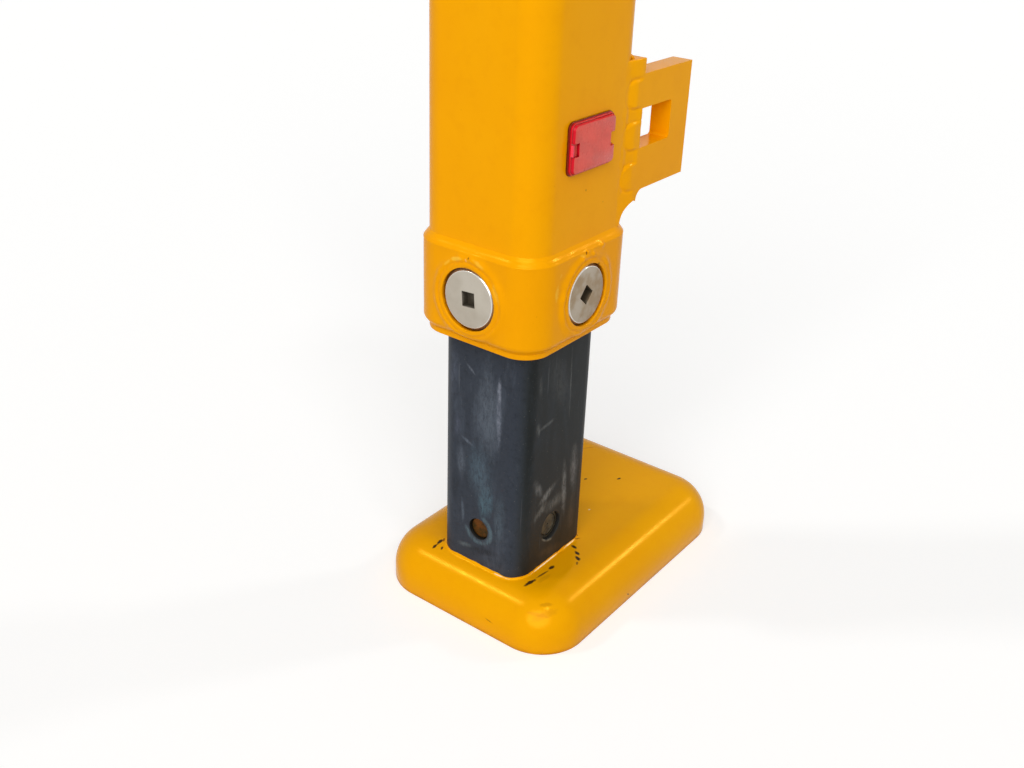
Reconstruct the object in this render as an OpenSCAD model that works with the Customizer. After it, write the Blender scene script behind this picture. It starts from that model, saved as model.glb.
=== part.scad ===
// Vertical stabiliser leg of a sideshift backhoe loader, left-hand side.
// +X points inboard to the machine's centre, +Y forward, +Z up. The origin is the centre
// of the lower rail stub's inboard end face, where the leg joins the machine's rear frame.

/* [Outer leg] */
// Wall of the outer leg
outer_wall = 8; // [7:0.5:9]
// Outer radius of the outer leg's corners
outer_corner_r = 33; // [26:1:36]
// Length of the outer leg
outer_len = 1015; // [990:5:1060]
// Distance from the frame joint's face to the leg's axis
leg_reach = 190; // [175:1:230]
// Distance from the frame joint's centre down to the outer leg's lower end
casing_drop = 214; // [205:1:260]

/* [Inner leg] */
// Width of the inner leg, outboard to inboard
inner_w = 140; // [130:1:150]
// Depth of the inner leg, rear to forward
inner_d = 124; // [118:1:132]
// Wall of the inner leg
inner_wall = 10; // [8:0.5:12]
// Outer radius of the inner leg's corners
inner_corner_r = 23.5; // [18:0.5:26]
// Length of the inner leg above the foot
inner_len = 941; // [900:1:950]
// Length of inner leg that shows between outer leg and foot, as it stands
showing = 304; // [300:1:330]
// Radius of the round access hole in the outboard face
access_r = 14; // [8:0.5:16]
// Gap to the outer leg on the outboard and inboard faces
gap_w = 11; // [9:0.5:14]
// Gap to the outer leg on the rear and forward faces
gap_d = 9; // [7:0.5:12]

/* [Collar] */
// Height of the collar band
collar_h = 95; // [86:1:110]
// Thickness of the collar band
collar_t = 6.5; // [5:0.5:9]
// Distance from the outer leg's lower end up to the collar band
collar_up = 12; // [8:1:20]
// Width of the raised ring round each plug
ring_w = 7.5; // [4:0.5:8]
// How far the raised ring stands off the band
ring_proud = 1.5; // [1:0.5:3]
// Leg length of the weld above the band
weld_top = 6.5; // [4:0.5:9]
// Leg length of the weld below the band
weld_low = 5; // [3:0.5:6]

/* [Wear pads and plugs] */
// Distance from the outer leg's lower end up to the plugs' axes
plug_up = 56; // [52:0.5:62]
// Radius of the plug bores through collar and leg
plug_bore_r = 35.5; // [32:0.5:38]
// Thickness of a plug
plug_t = 14; // [12:0.5:15]
// Depth of a plug's face below the raised ring
plug_sink = 2.5; // [1:0.5:4]
// Chamfer round a plug's face
plug_chamfer = 3.5; // [1:0.5:4]
// Square drive in a plug, across its flats
drive_af = 17; // [12:0.5:25]
// Depth of the square drive
drive_depth = 10; // [6:0.5:11]
// Height of an upper wear pad
pad_h = 60; // [40:1:80]
// Width of the upper wear pads on the outboard and inboard faces
pad_w_side = 76; // [50:1:78]
// Width of the upper wear pads on the rear and forward faces
pad_w_end = 88; // [60:1:91]
// Distance from the inner leg's upper end down to the pads
pad_down = 10; // [6:1:30]
// Radius of the peg that holds an upper pad
peg_r = 8; // [5:0.5:10]

/* [Rail stubs] */
// Thickness of the rail plate
rail_t = 25; // [20:1:25]
// Height of the rail plate
rail_h = 128; // [120:1:150]
// How far the rail plate's rear face stands behind the leg's rear face
rail_proud = 3.5; // [3:0.5:8]
// Height of the upper rail's centre above the lower rail's centre
rail_pitch = 640; // [600:5:640]
// Width of the window beside the leg
window_w = 60; // [30:1:64]
// Height of the window
window_h = 43; // [36:1:56]
// Distance from the rail's lower edge up to the window
window_up = 48; // [36:1:52]
// Radius of the window's corners
window_r = 4; // [2:0.5:8]
// Radius of a lobe on the leg's corner
lobe_r = 16; // [12:0.5:17]
// Distance from one lobe's centre to the next
lobe_pitch = 45; // [38:0.5:48]
// Height of the lowest lobe's centre above the rail's lower edge
lobe_up = 17.5; // [16:0.5:24]
// How far the lobes reach past the leg's inboard face
lobe_lap = 27; // [20:0.5:30]
// Height of the tab on the rail's upper edge
tab_up = 16; // [10:1:24]
// Gap between the lower rail's tail and the weld above the collar band
tail_gap = 1.5; // [1:0.5:6]
// Width of tab and tail past the leg's inboard face
tail_w = 3; // [2:0.5:9]
// Radius of the corner between the rail's lower edge and the tail
tail_fillet_r = 12; // [6:0.5:14]
// Radius of the scoop that ends the tail
scoop_r = 25; // [16:0.5:26]

/* [Ram] */
// How far the ram's axis stands outboard of the leg's axis
ram_off = 7; // [0:0.5:8]
// Radius of the upper pin
upper_pin_r = 20; // [16:0.5:22]
// Distance from the outer leg's upper end down to the upper pin
upper_pin_down = 41; // [38:1:50]
// Outer radius of the upper pin's bosses
upper_boss_r = 29; // [27:0.5:31]
// How far the upper bosses stand off the leg
upper_boss_proud = 10; // [6:0.5:16]
// Outer radius of the ram barrel
barrel_r = 42; // [39:0.5:43]
// Wall of the ram barrel
barrel_wall = 7; // [5:0.5:8]
// Radius of the ram rod
rod_r = 22.5; // [18:0.5:25]
// Radius of the ram head's eye
eye_r = 36; // [32:0.5:38]
// Width of the ram head's eye
eye_w = 60; // [50:1:70]
// Thickness of the ram head's flange
head_h = 29; // [20:1:40]
// Radius of the lower pin
lower_pin_r = 18; // [14:0.5:20]
// Height of the lower pin above the foot's top
lower_pin_up = 51; // [49:1:60]
// Depth of the lower pin's ends below the inner leg's faces
lower_pin_sink = 7; // [4:0.5:9]
// Radius of the rod eye
rod_eye_r = 34; // [30:0.5:36]
// Width of the rod eye
rod_eye_w = 50; // [40:1:60]
// Travel of the leg upwards from where it stands
travel_up = 290; // [250:1:290]
// Travel of the leg downwards from where it stands
travel_down = 260; // [200:1:280]
// Radius of the two oil ports
port_r = 9.5; // [7:0.5:10]
// Depth of the oil ports
port_depth = 16; // [12:1:20]
// Distance from one oil port to the other
port_gap = 28; // [24:1:32]
// Radius of the pipe to the barrel's lower end
pipe_r = 6; // [4:0.5:7]

/* [Foot] */
// How far the foot reaches outboard of the leg's axis
foot_out = 104; // [95:1:130]
// How far the foot reaches inboard of the leg's axis
foot_in = 301; // [260:1:330]
// Width of the foot, rear to forward
foot_w = 279; // [260:1:300]
// Height of the foot
foot_h = 65.5; // [58:0.5:72]
// Wall of the foot
foot_wall = 8; // [6:0.5:10]
// Radius of the foot's corners seen from above
foot_corner_r = 60; // [56:1:80]
// Radius of the foot's upper edge
foot_edge_r = 47; // [36:1:48]
// Thickness of the foot's ribs
rib_t = 10; // [8:0.5:14]
// Ribs between the leg's inboard wall and the foot's inboard end
far_ribs = 2; // [1:1:3]

/* [Reflector] */
// Width of the reflector
reflector_w = 79; // [70:1:92]
// Height of the reflector
reflector_h = 55; // [40:1:60]
// Thickness of the reflector's backing
base_t = 2; // [1:0.5:3]
// Thickness of the reflector's lens
lens_t = 5; // [3:0.5:8]
// Width of the lens's bevel
bevel_w = 5.5; // [2:0.5:6]
// Height of the notch in each side of the lens
notch_h = 14; // [8:1:18]
// Height of the reflector's centre above the outer leg's lower end
reflector_up = 222; // [180:1:300]
// How far the reflector's centre stands outboard of the leg's axis
reflector_out = 3; // [0:0.5:6]

/* [Fits] */
// Gap between a wear pad and the face that slides on it
slide_gap = 0.5; // [0.3:0.1:1]
// Gap round pins, plugs and pistons
fit_gap = 0.3; // [0.2:0.05:0.5]

/* [Hidden] */
$fn = 64;

// How far a cut runs past the face that it leaves
over = 1;

// The outer leg's size follows the inner leg's, and its axis lies forward of the rail plate's centre
bore_w = inner_w + 2 * gap_w;
bore_d = inner_d + 2 * gap_d;
outer_w = bore_w + 2 * outer_wall;
outer_d = bore_d + 2 * outer_wall;
leg_fwd = outer_d / 2 + rail_proud - rail_t / 2;

// Heights in the part's own frame
z_low = -casing_drop;
z_top = z_low + outer_len;
z_foot = z_low - showing;
z_floor = z_foot - foot_h;
z_inner_top = z_foot + inner_len;
z_plug = z_low + plug_up;
z_upper_pin = z_top - upper_pin_down;
z_lower_pin = z_foot + lower_pin_up;

// How far a tail runs down below its rail
tail_drop = casing_drop - collar_up - collar_h - min(weld_top, collar_t) - rail_h / 2 - tail_gap;

// Distance from the leg's axis to the raised rings' faces
ring_r = plug_bore_r + ring_w;
ring_face_x = outer_w / 2 + collar_t + ring_proud;
ring_face_y = outer_d / 2 + collar_t + ring_proud;

// Ram, from the rod's eye up to the head
shank_h = 45;
shank_gap = 12;
gland_h = 23;
gland_rim = 3;
piston_h = 45;
piston_up = 55;
rod_top = 15;
head_rim = 4;
head_gap = 2;
z_shank_top = z_lower_pin + shank_h;
z_gland = z_shank_top + travel_up + shank_gap;
z_barrel = z_gland + gland_h;
z_piston = z_barrel + travel_down + piston_up;
z_head_top = z_upper_pin - upper_boss_r - head_gap;
z_head = z_head_top - head_h;
barrel_bore_r = barrel_r - barrel_wall;
head_r = barrel_r + head_rim;

// Yellow paint, black paint and bare metals
yellow = [0.95, 0.66, 0.03];
black = [0.12, 0.12, 0.13];
zinc = [0.72, 0.71, 0.68];
steel = [0.55, 0.55, 0.56];
nylon = [0.20, 0.20, 0.19];
red = [0.72, 0.05, 0.06];

module on_leg() translate([-leg_reach, leg_fwd, 0]) children();
module on_ram() on_leg() translate([-ram_off, 0, 0]) children();

module round_rect(w, d, r) {
    square([w - 2 * r, d], center = true);
    square([w, d - 2 * r], center = true);
    for (sx = [-1, 1], sy = [-1, 1])
        translate([sx * (w / 2 - r), sy * (d / 2 - r)]) circle(r);
}

module round_bar(w, d, r, z0, z1) {
    translate([0, 0, z0]) linear_extrude(z1 - z0) round_rect(w, d, r);
}

module tube(w, d, r, wall, z0, z1) {
    difference() {
        round_bar(w, d, r, z0, z1);
        round_bar(w - 2 * wall, d - 2 * wall, r - wall, z0 - over, z1 + over);
    }
}

// A bar along Y, centred on the axis
module cross_bar(r, len, z) {
    translate([0, len / 2, z]) rotate([90, 0, 0]) cylinder(h = len, r = r);
}

// Four sides of the leg: turn about Z, distance of the inner leg's face, distance of the
// raised ring's face, and how far that side's square drive is turned
side_places = [
    [0, inner_w / 2, ring_face_x, 68],
    [90, inner_d / 2, ring_face_y, 22],
    [180, inner_w / 2, ring_face_x, 4],
    [270, inner_d / 2, ring_face_y, 48]
];

// Child drawn along +X at height z, turned to one of the four sides
module at_side(turn, z) translate([0, 0, z]) rotate([0, 0, turn]) rotate([0, 90, 0]) children();

module plug_bores() {
    for (p = side_places) at_side(p[0], z_plug) cylinder(h = outer_w, r = plug_bore_r);
}

// The outer leg's outside with a small gap round it, as a tool that clears the leg's space
module leg_space(z0, z1) {
    round_bar(outer_w + 2 * fit_gap, outer_d + 2 * fit_gap, outer_corner_r + fit_gap, z0, z1);
}

module outer_leg() {
    color(yellow) on_leg() difference() {
        tube(outer_w, outer_d, outer_corner_r, outer_wall, z_low, z_top);
        plug_bores();
        translate([-ram_off, 0, 0]) cross_bar(upper_boss_r + fit_gap, outer_d + 2 * over, z_upper_pin);
    }
}

module collar() {
    z0 = z_low + collar_up;
    color(yellow) on_leg() difference() {
        union() {
            round_bar(outer_w + 2 * collar_t, outer_d + 2 * collar_t,
                      outer_corner_r + collar_t, z0, z0 + collar_h);
            for (p = side_places) at_side(p[0], z_plug) cylinder(h = p[2], r = ring_r);
        }
        leg_space(z0 - ring_r, z0 + collar_h + ring_r);
        plug_bores();
    }
}

weld_lap = 1;

// A fillet weld that runs round the leg against the band's edge
module weld_ring(z, leg, side) {
    w = outer_w + 2 * leg;
    d = outer_d + 2 * leg;
    difference() {
        translate([0, 0, z]) scale([1, 1, side])
            linear_extrude(leg, scale = [(outer_w + weld_lap) / w, (outer_d + weld_lap) / d], slices = 1)
                round_rect(w, d, outer_corner_r + leg, $fn = 32);
        leg_space(z - leg - over, z + leg + over);
    }
}

module collar_welds() {
    z0 = z_low + collar_up;
    color(yellow) on_leg() {
        weld_ring(z0 + collar_h, min(weld_top, collar_t), 1);
        weld_ring(z0, min(weld_low, collar_t), -1);
    }
}

module plug(side) {
    r = plug_bore_r - fit_gap;
    z_face = side[2] - plug_sink;
    color(zinc) on_leg() at_side(side[0], z_plug) difference() {
        translate([0, 0, z_face - plug_t]) union() {
            cylinder(h = plug_t - plug_chamfer, r = r);
            translate([0, 0, plug_t - plug_chamfer])
                cylinder(h = plug_chamfer, r1 = r, r2 = r - plug_chamfer);
        }
        translate([0, 0, z_face - drive_depth]) rotate([0, 0, side[3]])
            translate([-drive_af / 2, -drive_af / 2, 0]) cube([drive_af, drive_af, drive_depth + over]);
    }
}

module plug_inboard() plug(side_places[0]);
module plug_forward() plug(side_places[1]);
module plug_outboard() plug(side_places[2]);
module plug_rear() plug(side_places[3]);

module lower_wear_pads() {
    color(nylon) on_leg() for (p = side_places) {
        seat = p[2] - plug_sink - plug_t - fit_gap;
        at_side(p[0], z_plug) translate([0, 0, p[1] + slide_gap])
            cylinder(h = seat - p[1] - slide_gap, r = plug_bore_r - fit_gap);
    }
}

// The rail plate's outline: u runs inboard from the leg's axis, v up from the rail's centre
module rail_outline() {
    flank = outer_w / 2;
    low = -rail_h / 2;
    edge = flank + tail_w;
    difference() {
        union() {
            translate([flank - tail_w, low]) square([leg_reach - flank + tail_w, rail_h]);
            for (k = [0:2]) translate([flank, low + lobe_up + k * lobe_pitch]) {
                translate([lobe_r - lobe_lap, 0]) circle(lobe_r);
                translate([lobe_r - lobe_lap, -lobe_r]) square([lobe_lap, 2 * lobe_r]);
            }
            translate([flank - lobe_lap, -low - lobe_r]) square([lobe_lap + tail_w, tab_up + lobe_r]);
            translate([flank - lobe_lap, low - tail_drop]) square([lobe_lap + tail_w, tail_drop + lobe_up]);
            translate([edge, low - tail_fillet_r]) square(tail_fillet_r);
        }
        translate([edge, low + window_up]) window();
        translate([edge, low - tail_drop]) circle(scoop_r);
        translate([edge + tail_fillet_r, low - tail_fillet_r]) circle(tail_fillet_r);
    }
}

module window() {
    translate([window_w / 2, window_h / 2]) round_rect(window_w, window_h, window_r);
}

module rail(z) {
    color(yellow) difference() {
        translate([-leg_reach, rail_t / 2, z]) rotate([90, 0, 0])
            linear_extrude(rail_t) rail_outline();
        on_leg() leg_space(z - rail_h, z + rail_h);
    }
}

module rail_lower() rail(0);
module rail_upper() rail(rail_pitch);

eye_side_gap = 1;
boss_in = eye_w / 2 + eye_side_gap;

module upper_pin_bosses() {
    len = outer_d / 2 + upper_boss_proud - boss_in;
    color(yellow) on_ram() {
        for (side = [-1, 1]) difference() {
            translate([0, side * (boss_in + len / 2), z_upper_pin])
                rotate([90, 0, 0]) cylinder(h = len, r = upper_boss_r, center = true);
            cross_bar(upper_pin_r + fit_gap, 2 * outer_d, z_upper_pin);
        }
        flag_lug();
    }
}

pin_over = 3;
pin_len = outer_d + 2 * upper_boss_proud + 2 * pin_over;

module upper_pin() {
    color(steel) on_ram() cross_bar(upper_pin_r, pin_len, z_upper_pin);
}

flag_t = 8;
flag_r = 18;
flag_drop = 46;
lug_r = 14;
flag_bolt_r = 6;

// The flag holds the pin's rear end and takes one bolt into the lug below it
module pin_flag() {
    color(yellow) on_ram() translate([0, -pin_len / 2 - fit_gap, z_upper_pin]) rotate([90, 0, 0])
        linear_extrude(flag_t) difference() {
            union() {
                circle(flag_r);
                translate([0, -flag_drop]) circle(flag_r);
                translate([-flag_r, -flag_drop]) square([2 * flag_r, flag_drop]);
            }
            translate([0, -flag_drop]) circle(flag_bolt_r);
        }
}

module flag_lug() {
    translate([0, -outer_d / 2 - fit_gap, z_upper_pin - flag_drop]) rotate([90, 0, 0]) difference() {
        cylinder(h = (pin_len - outer_d) / 2 - fit_gap, r = lug_r);
        translate([0, 0, -over]) cylinder(h = pin_len, r = flag_bolt_r);
    }
}

module ram_barrel() {
    color(black) on_ram() difference() {
        translate([0, 0, z_barrel]) cylinder(h = z_head - z_barrel, r = barrel_r);
        translate([0, 0, z_barrel - over]) cylinder(h = z_head - z_barrel + 2 * over, r = barrel_bore_r);
    }
}

// A flange that closes the barrel, with the eye's block on it
module ram_head() {
    color(black) on_ram() difference() {
        union() {
            translate([0, 0, z_head + fit_gap]) cylinder(h = head_h - fit_gap, r = head_r);
            translate([-eye_r, -eye_w / 2, z_head_top - over])
                cube([2 * eye_r, eye_w, z_upper_pin - z_head_top + over]);
            cross_bar(eye_r, eye_w, z_upper_pin);
        }
        cross_bar(upper_pin_r + fit_gap, outer_d, z_upper_pin);
    }
}

module ram_gland() {
    color(black) on_ram() difference() {
        translate([0, 0, z_gland]) cylinder(h = gland_h - fit_gap, r = barrel_r + gland_rim);
        translate([0, 0, z_gland - over]) cylinder(h = gland_h + 2 * over, r = rod_r + fit_gap);
    }
}

// The ports' block stands on the head's flange beside the eye
block_w = 34;
block_h = 48;
block_end = 18;
block_x = eye_r + fit_gap;
z_block = z_head_top + fit_gap;

module port_block() {
    depth = port_gap + 2 * block_end;
    color(black) on_ram() difference() {
        translate([block_x, -depth / 2, z_block]) cube([block_w, depth, block_h]);
        for (side = [-1, 1])
            translate([block_x + block_w / 2, side * port_gap / 2, z_block + block_h - port_depth])
                cylinder(h = port_depth + over, r = port_r);
    }
}

pipe_place = head_r + pipe_r + fit_gap;
pipe_turn = asin(port_gap / 2 / pipe_place);
pipe_up = 30;
pipe_boss_r = pipe_r + 3;

// The pipe runs from the block down past the head to a boss on the barrel's lower end
module transfer_tube() {
    z0 = z_barrel + pipe_up;
    color(black) on_ram() rotate([0, 0, pipe_turn]) {
        translate([pipe_place, 0, z0]) cylinder(h = z_block - fit_gap - z0, r = pipe_r);
        difference() {
            translate([0, 0, z0]) rotate([0, 90, 0]) cylinder(h = pipe_place + pipe_r, r = pipe_boss_r);
            translate([0, 0, z0 - 2 * pipe_boss_r]) cylinder(h = 4 * pipe_boss_r, r = barrel_r + fit_gap);
        }
    }
}

reflector_corner_r = 7;
lens_inset = 1;

module reflector_base() {
    color(red) on_leg() translate([-reflector_out, -outer_d / 2 - fit_gap, z_low + reflector_up])
        rotate([90, 0, 0]) linear_extrude(base_t) round_rect(reflector_w, reflector_h, reflector_corner_r);
}

// The lens has a bevel all round and a notch in each side
module reflector_lens() {
    w = reflector_w - 2 * lens_inset;
    y = -outer_d / 2 - 2 * fit_gap - base_t;
    color(red) on_leg() translate([-reflector_out, y, z_low + reflector_up])
        rotate([90, 0, 0]) difference() {
            edge_form(w, reflector_h - 2 * lens_inset, reflector_corner_r, lens_t)
                polygon([[0, 0], [reflector_corner_r, 0], [reflector_corner_r - bevel_w, lens_t], [0, lens_t]]);
            for (side = [-1, 1])
                translate([side * w / 2 - bevel_w * 1.5, -notch_h / 2, lens_t / 2])
                    cube([bevel_w * 3, notch_h, lens_t]);
        }
}

pad_seat_x = inner_w / 2 + fit_gap;
pad_seat_y = inner_d / 2 + fit_gap;
z_pad = z_inner_top - pad_down - pad_h;

module inner_leg() {
    color(black) on_leg() difference() {
        tube(inner_w, inner_d, inner_corner_r, inner_wall, z_foot + fit_gap, z_inner_top);
        translate([-ram_off, 0, 0]) cross_bar(lower_pin_r + fit_gap, inner_d + 2 * over, z_lower_pin);
        at_side(180, z_lower_pin) cylinder(h = inner_w, r = access_r);
        for (p = pad_rows) at_side(p[0], z_pad + pad_h / 2) cylinder(h = inner_w, r = peg_r + fit_gap);
    }
}

plate_t = 12;

module leg_base_plate() {
    gap = 2 * (inner_wall + fit_gap);
    color(black) on_leg() difference() {
        round_bar(inner_w - gap, inner_d - gap, inner_corner_r - inner_wall,
                  z_foot + fit_gap, z_foot + plate_t);
        translate([0, 0, z_foot - over]) cylinder(h = plate_t + 2 * over, r = bolt_r + fit_gap);
    }
}

// Wear pads on the inner leg's upper end: turn, seat, thickness and width
pad_rows = [
    [0, pad_seat_x, bore_w / 2 - slide_gap - pad_seat_x, pad_w_side],
    [90, pad_seat_y, bore_d / 2 - slide_gap - pad_seat_y, pad_w_end],
    [180, pad_seat_x, bore_w / 2 - slide_gap - pad_seat_x, pad_w_side],
    [270, pad_seat_y, bore_d / 2 - slide_gap - pad_seat_y, pad_w_end]
];

module upper_wear_pads() {
    color(nylon) on_leg() for (p = pad_rows) at_side(p[0], z_pad + pad_h / 2) {
        translate([-pad_h / 2, -p[3] / 2, p[1]]) cube([pad_h, p[3], p[2]]);
        translate([0, 0, p[1] - inner_wall]) cylinder(h = inner_wall + over, r = peg_r);
    }
}

lower_boss_r = 28;

module lower_pin_bosses() {
    near = rod_eye_w / 2 + eye_side_gap;
    far = inner_d / 2 - inner_wall - fit_gap;
    color(black) on_ram() for (side = [-1, 1]) difference() {
        translate([0, side * (near + far) / 2, z_lower_pin])
            rotate([90, 0, 0]) cylinder(h = far - near, r = lower_boss_r, center = true);
        cross_bar(lower_pin_r + fit_gap, inner_d, z_lower_pin);
    }
}

pin_chamfer = 2;

module lower_pin() {
    len = inner_d - 2 * lower_pin_sink;
    color(steel) on_ram() translate([0, 0, z_lower_pin]) {
        cross_bar(lower_pin_r, len - 2 * pin_chamfer, 0);
        for (side = [-1, 1]) rotate([-90 * side, 0, 0])
            translate([0, 0, len / 2 - pin_chamfer])
                cylinder(h = pin_chamfer, r1 = lower_pin_r, r2 = lower_pin_r - pin_chamfer);
    }
}

clip_t = 2;
clip_w = 3;

// Retaining rings in front of the pin's ends
module lower_pin_rings() {
    y = inner_d / 2 - lower_pin_sink + fit_gap;
    color(steel) on_ram() for (side = [-1, 1]) translate([0, 0, z_lower_pin])
        rotate([-90 * side, 0, 0]) translate([0, 0, y]) difference() {
            cylinder(h = clip_t, r = lower_pin_r);
            translate([0, 0, -over]) cylinder(h = clip_t + 2 * over, r = lower_pin_r - clip_w);
        }
}

module ram_rod() {
    color(steel) on_ram() {
        translate([0, 0, z_shank_top]) cylinder(h = z_piston + piston_h + rod_top - z_shank_top, r = rod_r);
        translate([0, 0, z_piston]) cylinder(h = piston_h, r = barrel_bore_r - fit_gap);
    }
}

shank_r = rod_r + 2;

module rod_eye() {
    color(black) on_ram() difference() {
        union() {
            cross_bar(rod_eye_r, rod_eye_w, z_lower_pin);
            translate([0, 0, z_lower_pin]) cylinder(h = shank_h, r = shank_r);
        }
        cross_bar(lower_pin_r + fit_gap, inner_d, z_lower_pin);
    }
}

// A block with round corners. The child is its edge's section: x runs out from the corner's axis, y up
module edge_form(len, wid, corner, high) {
    x = len / 2 - corner;
    y = wid / 2 - corner;
    for (sx = [0, 1], sy = [0, 1]) mirror([sx, 0, 0]) mirror([0, sy, 0])
        translate([x, y, 0]) rotate_extrude(angle = 90) children();
    for (side = [0, 1]) mirror([side, 0, 0]) translate([x, y, 0])
        rotate([90, 0, 0]) linear_extrude(2 * y) children();
    for (side = [0, 1]) mirror([0, side, 0]) translate([-x, y, 0])
        rotate([90, 0, 90]) linear_extrude(2 * x) children();
    translate([-x, -y, 0]) cube([2 * x, 2 * y, high]);
}

// A pan's edge: upright at the ground and rounded into the flat top
module pan_section(flat, high, edge) {
    square([flat, high]);
    square([flat + edge, high - edge]);
    translate([flat, high - edge]) intersection() {
        circle(edge);
        square(edge);
    }
}

foot_mid = (foot_in - foot_out) / 2;
foot_len = foot_in + foot_out;

// The foot's outside, drawn in by the given amount at its sides and top
module foot_form(inset) {
    translate([foot_mid, 0, z_floor])
        edge_form(foot_len - 2 * inset, foot_w - 2 * inset, foot_corner_r - inset, foot_h - inset)
            pan_section(foot_corner_r - foot_edge_r, foot_h - inset, foot_edge_r - inset);
}

module foot_pan() {
    color(yellow) on_leg() difference() {
        foot_form(0);
        foot_form(foot_wall);
        translate([0, 0, z_floor]) cylinder(h = foot_h + over, r = bolt_r + fit_gap);
    }
}

// Two ribs run the foot's length under the leg's rear and forward walls. Cross ribs stand under
// its outboard and inboard walls and at even steps to the foot's inboard end
rib_y = (inner_d - inner_wall) / 2;
rib_x = (inner_w - inner_wall) / 2;
rib_step = (foot_in - foot_wall - rib_x) / (far_ribs + 1);
cross_ribs = concat([-rib_x], [for (k = [0:far_ribs]) rib_x + k * rib_step]);

module foot_ribs() {
    color(yellow) on_leg() intersection() {
        foot_form(foot_wall + fit_gap);
        union() {
            for (side = [-1, 1]) translate([-foot_out, side * rib_y - rib_t / 2, z_floor])
                cube([foot_len, rib_t, foot_h]);
            for (x = cross_ribs) translate([x - rib_t / 2, -foot_w / 2, z_floor])
                cube([rib_t, foot_w, foot_h]);
        }
    }
}

bolt_r = 12;
bolt_head_af = 36;
bolt_head_h = 15;

module foot_bolt() {
    z_seat = z_foot - foot_wall - fit_gap;
    color(zinc) on_leg() {
        translate([0, 0, z_seat - bolt_head_h])
            cylinder(h = bolt_head_h, r = bolt_head_af / 2 / cos(30), $fn = 6);
        translate([0, 0, z_seat - over]) cylinder(h = foot_wall + plate_t + over, r = bolt_r);
    }
}

outer_leg();
collar();
collar_welds();
plug_outboard();
plug_rear();
plug_forward();
plug_inboard();
lower_wear_pads();
rail_lower();
rail_upper();
upper_pin_bosses();
upper_pin();
pin_flag();
ram_barrel();
ram_head();
ram_gland();
port_block();
transfer_tube();
reflector_base();
reflector_lens();
inner_leg();
leg_base_plate();
upper_wear_pads();
lower_pin_bosses();
lower_pin();
lower_pin_rings();
ram_rod();
rod_eye();
foot_pan();
foot_ribs();
foot_bolt();
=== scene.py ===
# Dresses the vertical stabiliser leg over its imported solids. Shapes are worked out in
# millimetres about the leg's axis, x inboard, y forward and z as in the part's own frame, and
# solid() makes metres of them.
import math

import bmesh
import bpy
import numpy as np
from mathutils import Matrix, Vector, noise

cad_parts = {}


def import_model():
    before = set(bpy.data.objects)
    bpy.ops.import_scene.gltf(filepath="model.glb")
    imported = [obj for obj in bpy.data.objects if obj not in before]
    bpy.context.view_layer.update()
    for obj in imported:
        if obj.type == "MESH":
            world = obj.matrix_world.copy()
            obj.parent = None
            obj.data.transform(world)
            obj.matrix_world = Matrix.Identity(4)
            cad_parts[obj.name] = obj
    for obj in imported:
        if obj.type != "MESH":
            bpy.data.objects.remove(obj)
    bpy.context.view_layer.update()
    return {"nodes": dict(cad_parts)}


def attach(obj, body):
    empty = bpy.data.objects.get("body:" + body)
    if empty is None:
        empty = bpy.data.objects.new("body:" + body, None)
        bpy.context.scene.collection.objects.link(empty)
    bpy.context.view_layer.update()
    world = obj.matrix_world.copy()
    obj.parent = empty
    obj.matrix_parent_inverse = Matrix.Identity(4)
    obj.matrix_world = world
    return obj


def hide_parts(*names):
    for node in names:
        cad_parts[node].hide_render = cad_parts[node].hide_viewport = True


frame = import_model()
nodes = frame["nodes"]

# Sizes of the part, as its source has them
MM = 0.001
AXIS_X, AXIS_Y = -190, 70
OUTER_W, OUTER_D, OUTER_R, OUTER_WALL = 178, 158, 33, 8
INNER_W, INNER_D, INNER_R, INNER_WALL = 140, 124, 23.5, 10
Z_LOW, Z_TOP = -214, 801
Z_FOOT, Z_FLOOR, Z_INNER_TOP = -518, -583.5, 423
COLLAR_T, PLUG_UP, PLUG_R = 6.5, 56, 35.5
DRIVE_AF, DRIVE_DEPTH = 17, 10
RAM_X = -7
Z_UPPER_PIN, UPPER_PIN_R, UPPER_BOSS_R, UPPER_BOSS_PROUD = 760, 20, 29, 10
Z_LOWER_PIN, LOWER_PIN_R, ACCESS_R = -467, 18, 14
PEG_R, PEG_DOWN = 8, 40
FOOT_OUT, FOOT_IN, FOOT_W = 104, 301, 279
FOOT_R, FOOT_EDGE, FOOT_WALL = 60, 47, 8
RAIL_PITCH = 640
REFLECTOR_X, REFLECTOR_Z = -3, 8
FIT_GAP = 0.3

# How far the painted sheet's ring stands off the collar, and the plug's face below the ring
RING_PROUD, PLUG_SINK = 2.5, 1.4

# The camera of the photograph: place in metres, turn, tilt and roll in degrees, and lens
CAMERA_AT = (-1.1422, -0.63024, 0.32016)
CAMERA_YAW, CAMERA_PITCH, CAMERA_ROLL = 53.295, 27.58, -2.098
CAMERA_LENS = 39.75


def rgb(r, g, b):
    """A colour written as on a screen, as linear light."""
    linear = [c / 255 / 12.92 if c <= 10 else ((c / 255 + 0.055) / 1.055) ** 2.4
              for c in (r, g, b)]
    return (*linear, 1)


# Meshes


def add_object(name, data):
    """An object of the scene, made of a mesh, a lamp or a camera."""
    made = bpy.data.objects.new(name, data)
    bpy.context.scene.collection.objects.link(made)
    return made


def solid(name, points, faces):
    """A mesh object from points in millimetres about the leg's axis."""
    mesh = bpy.data.meshes.new(name)
    metres = [((x + AXIS_X) * MM, (y + AXIS_Y) * MM, z * MM) for x, y, z in points]
    mesh.from_pydata(metres, [], faces)
    form = bmesh.new()
    form.from_mesh(mesh)
    bmesh.ops.recalc_face_normals(form, faces=form.faces)
    for face in form.faces:
        face.smooth = True
    form.to_mesh(mesh)
    form.free()
    return add_object(name, mesh)


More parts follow.
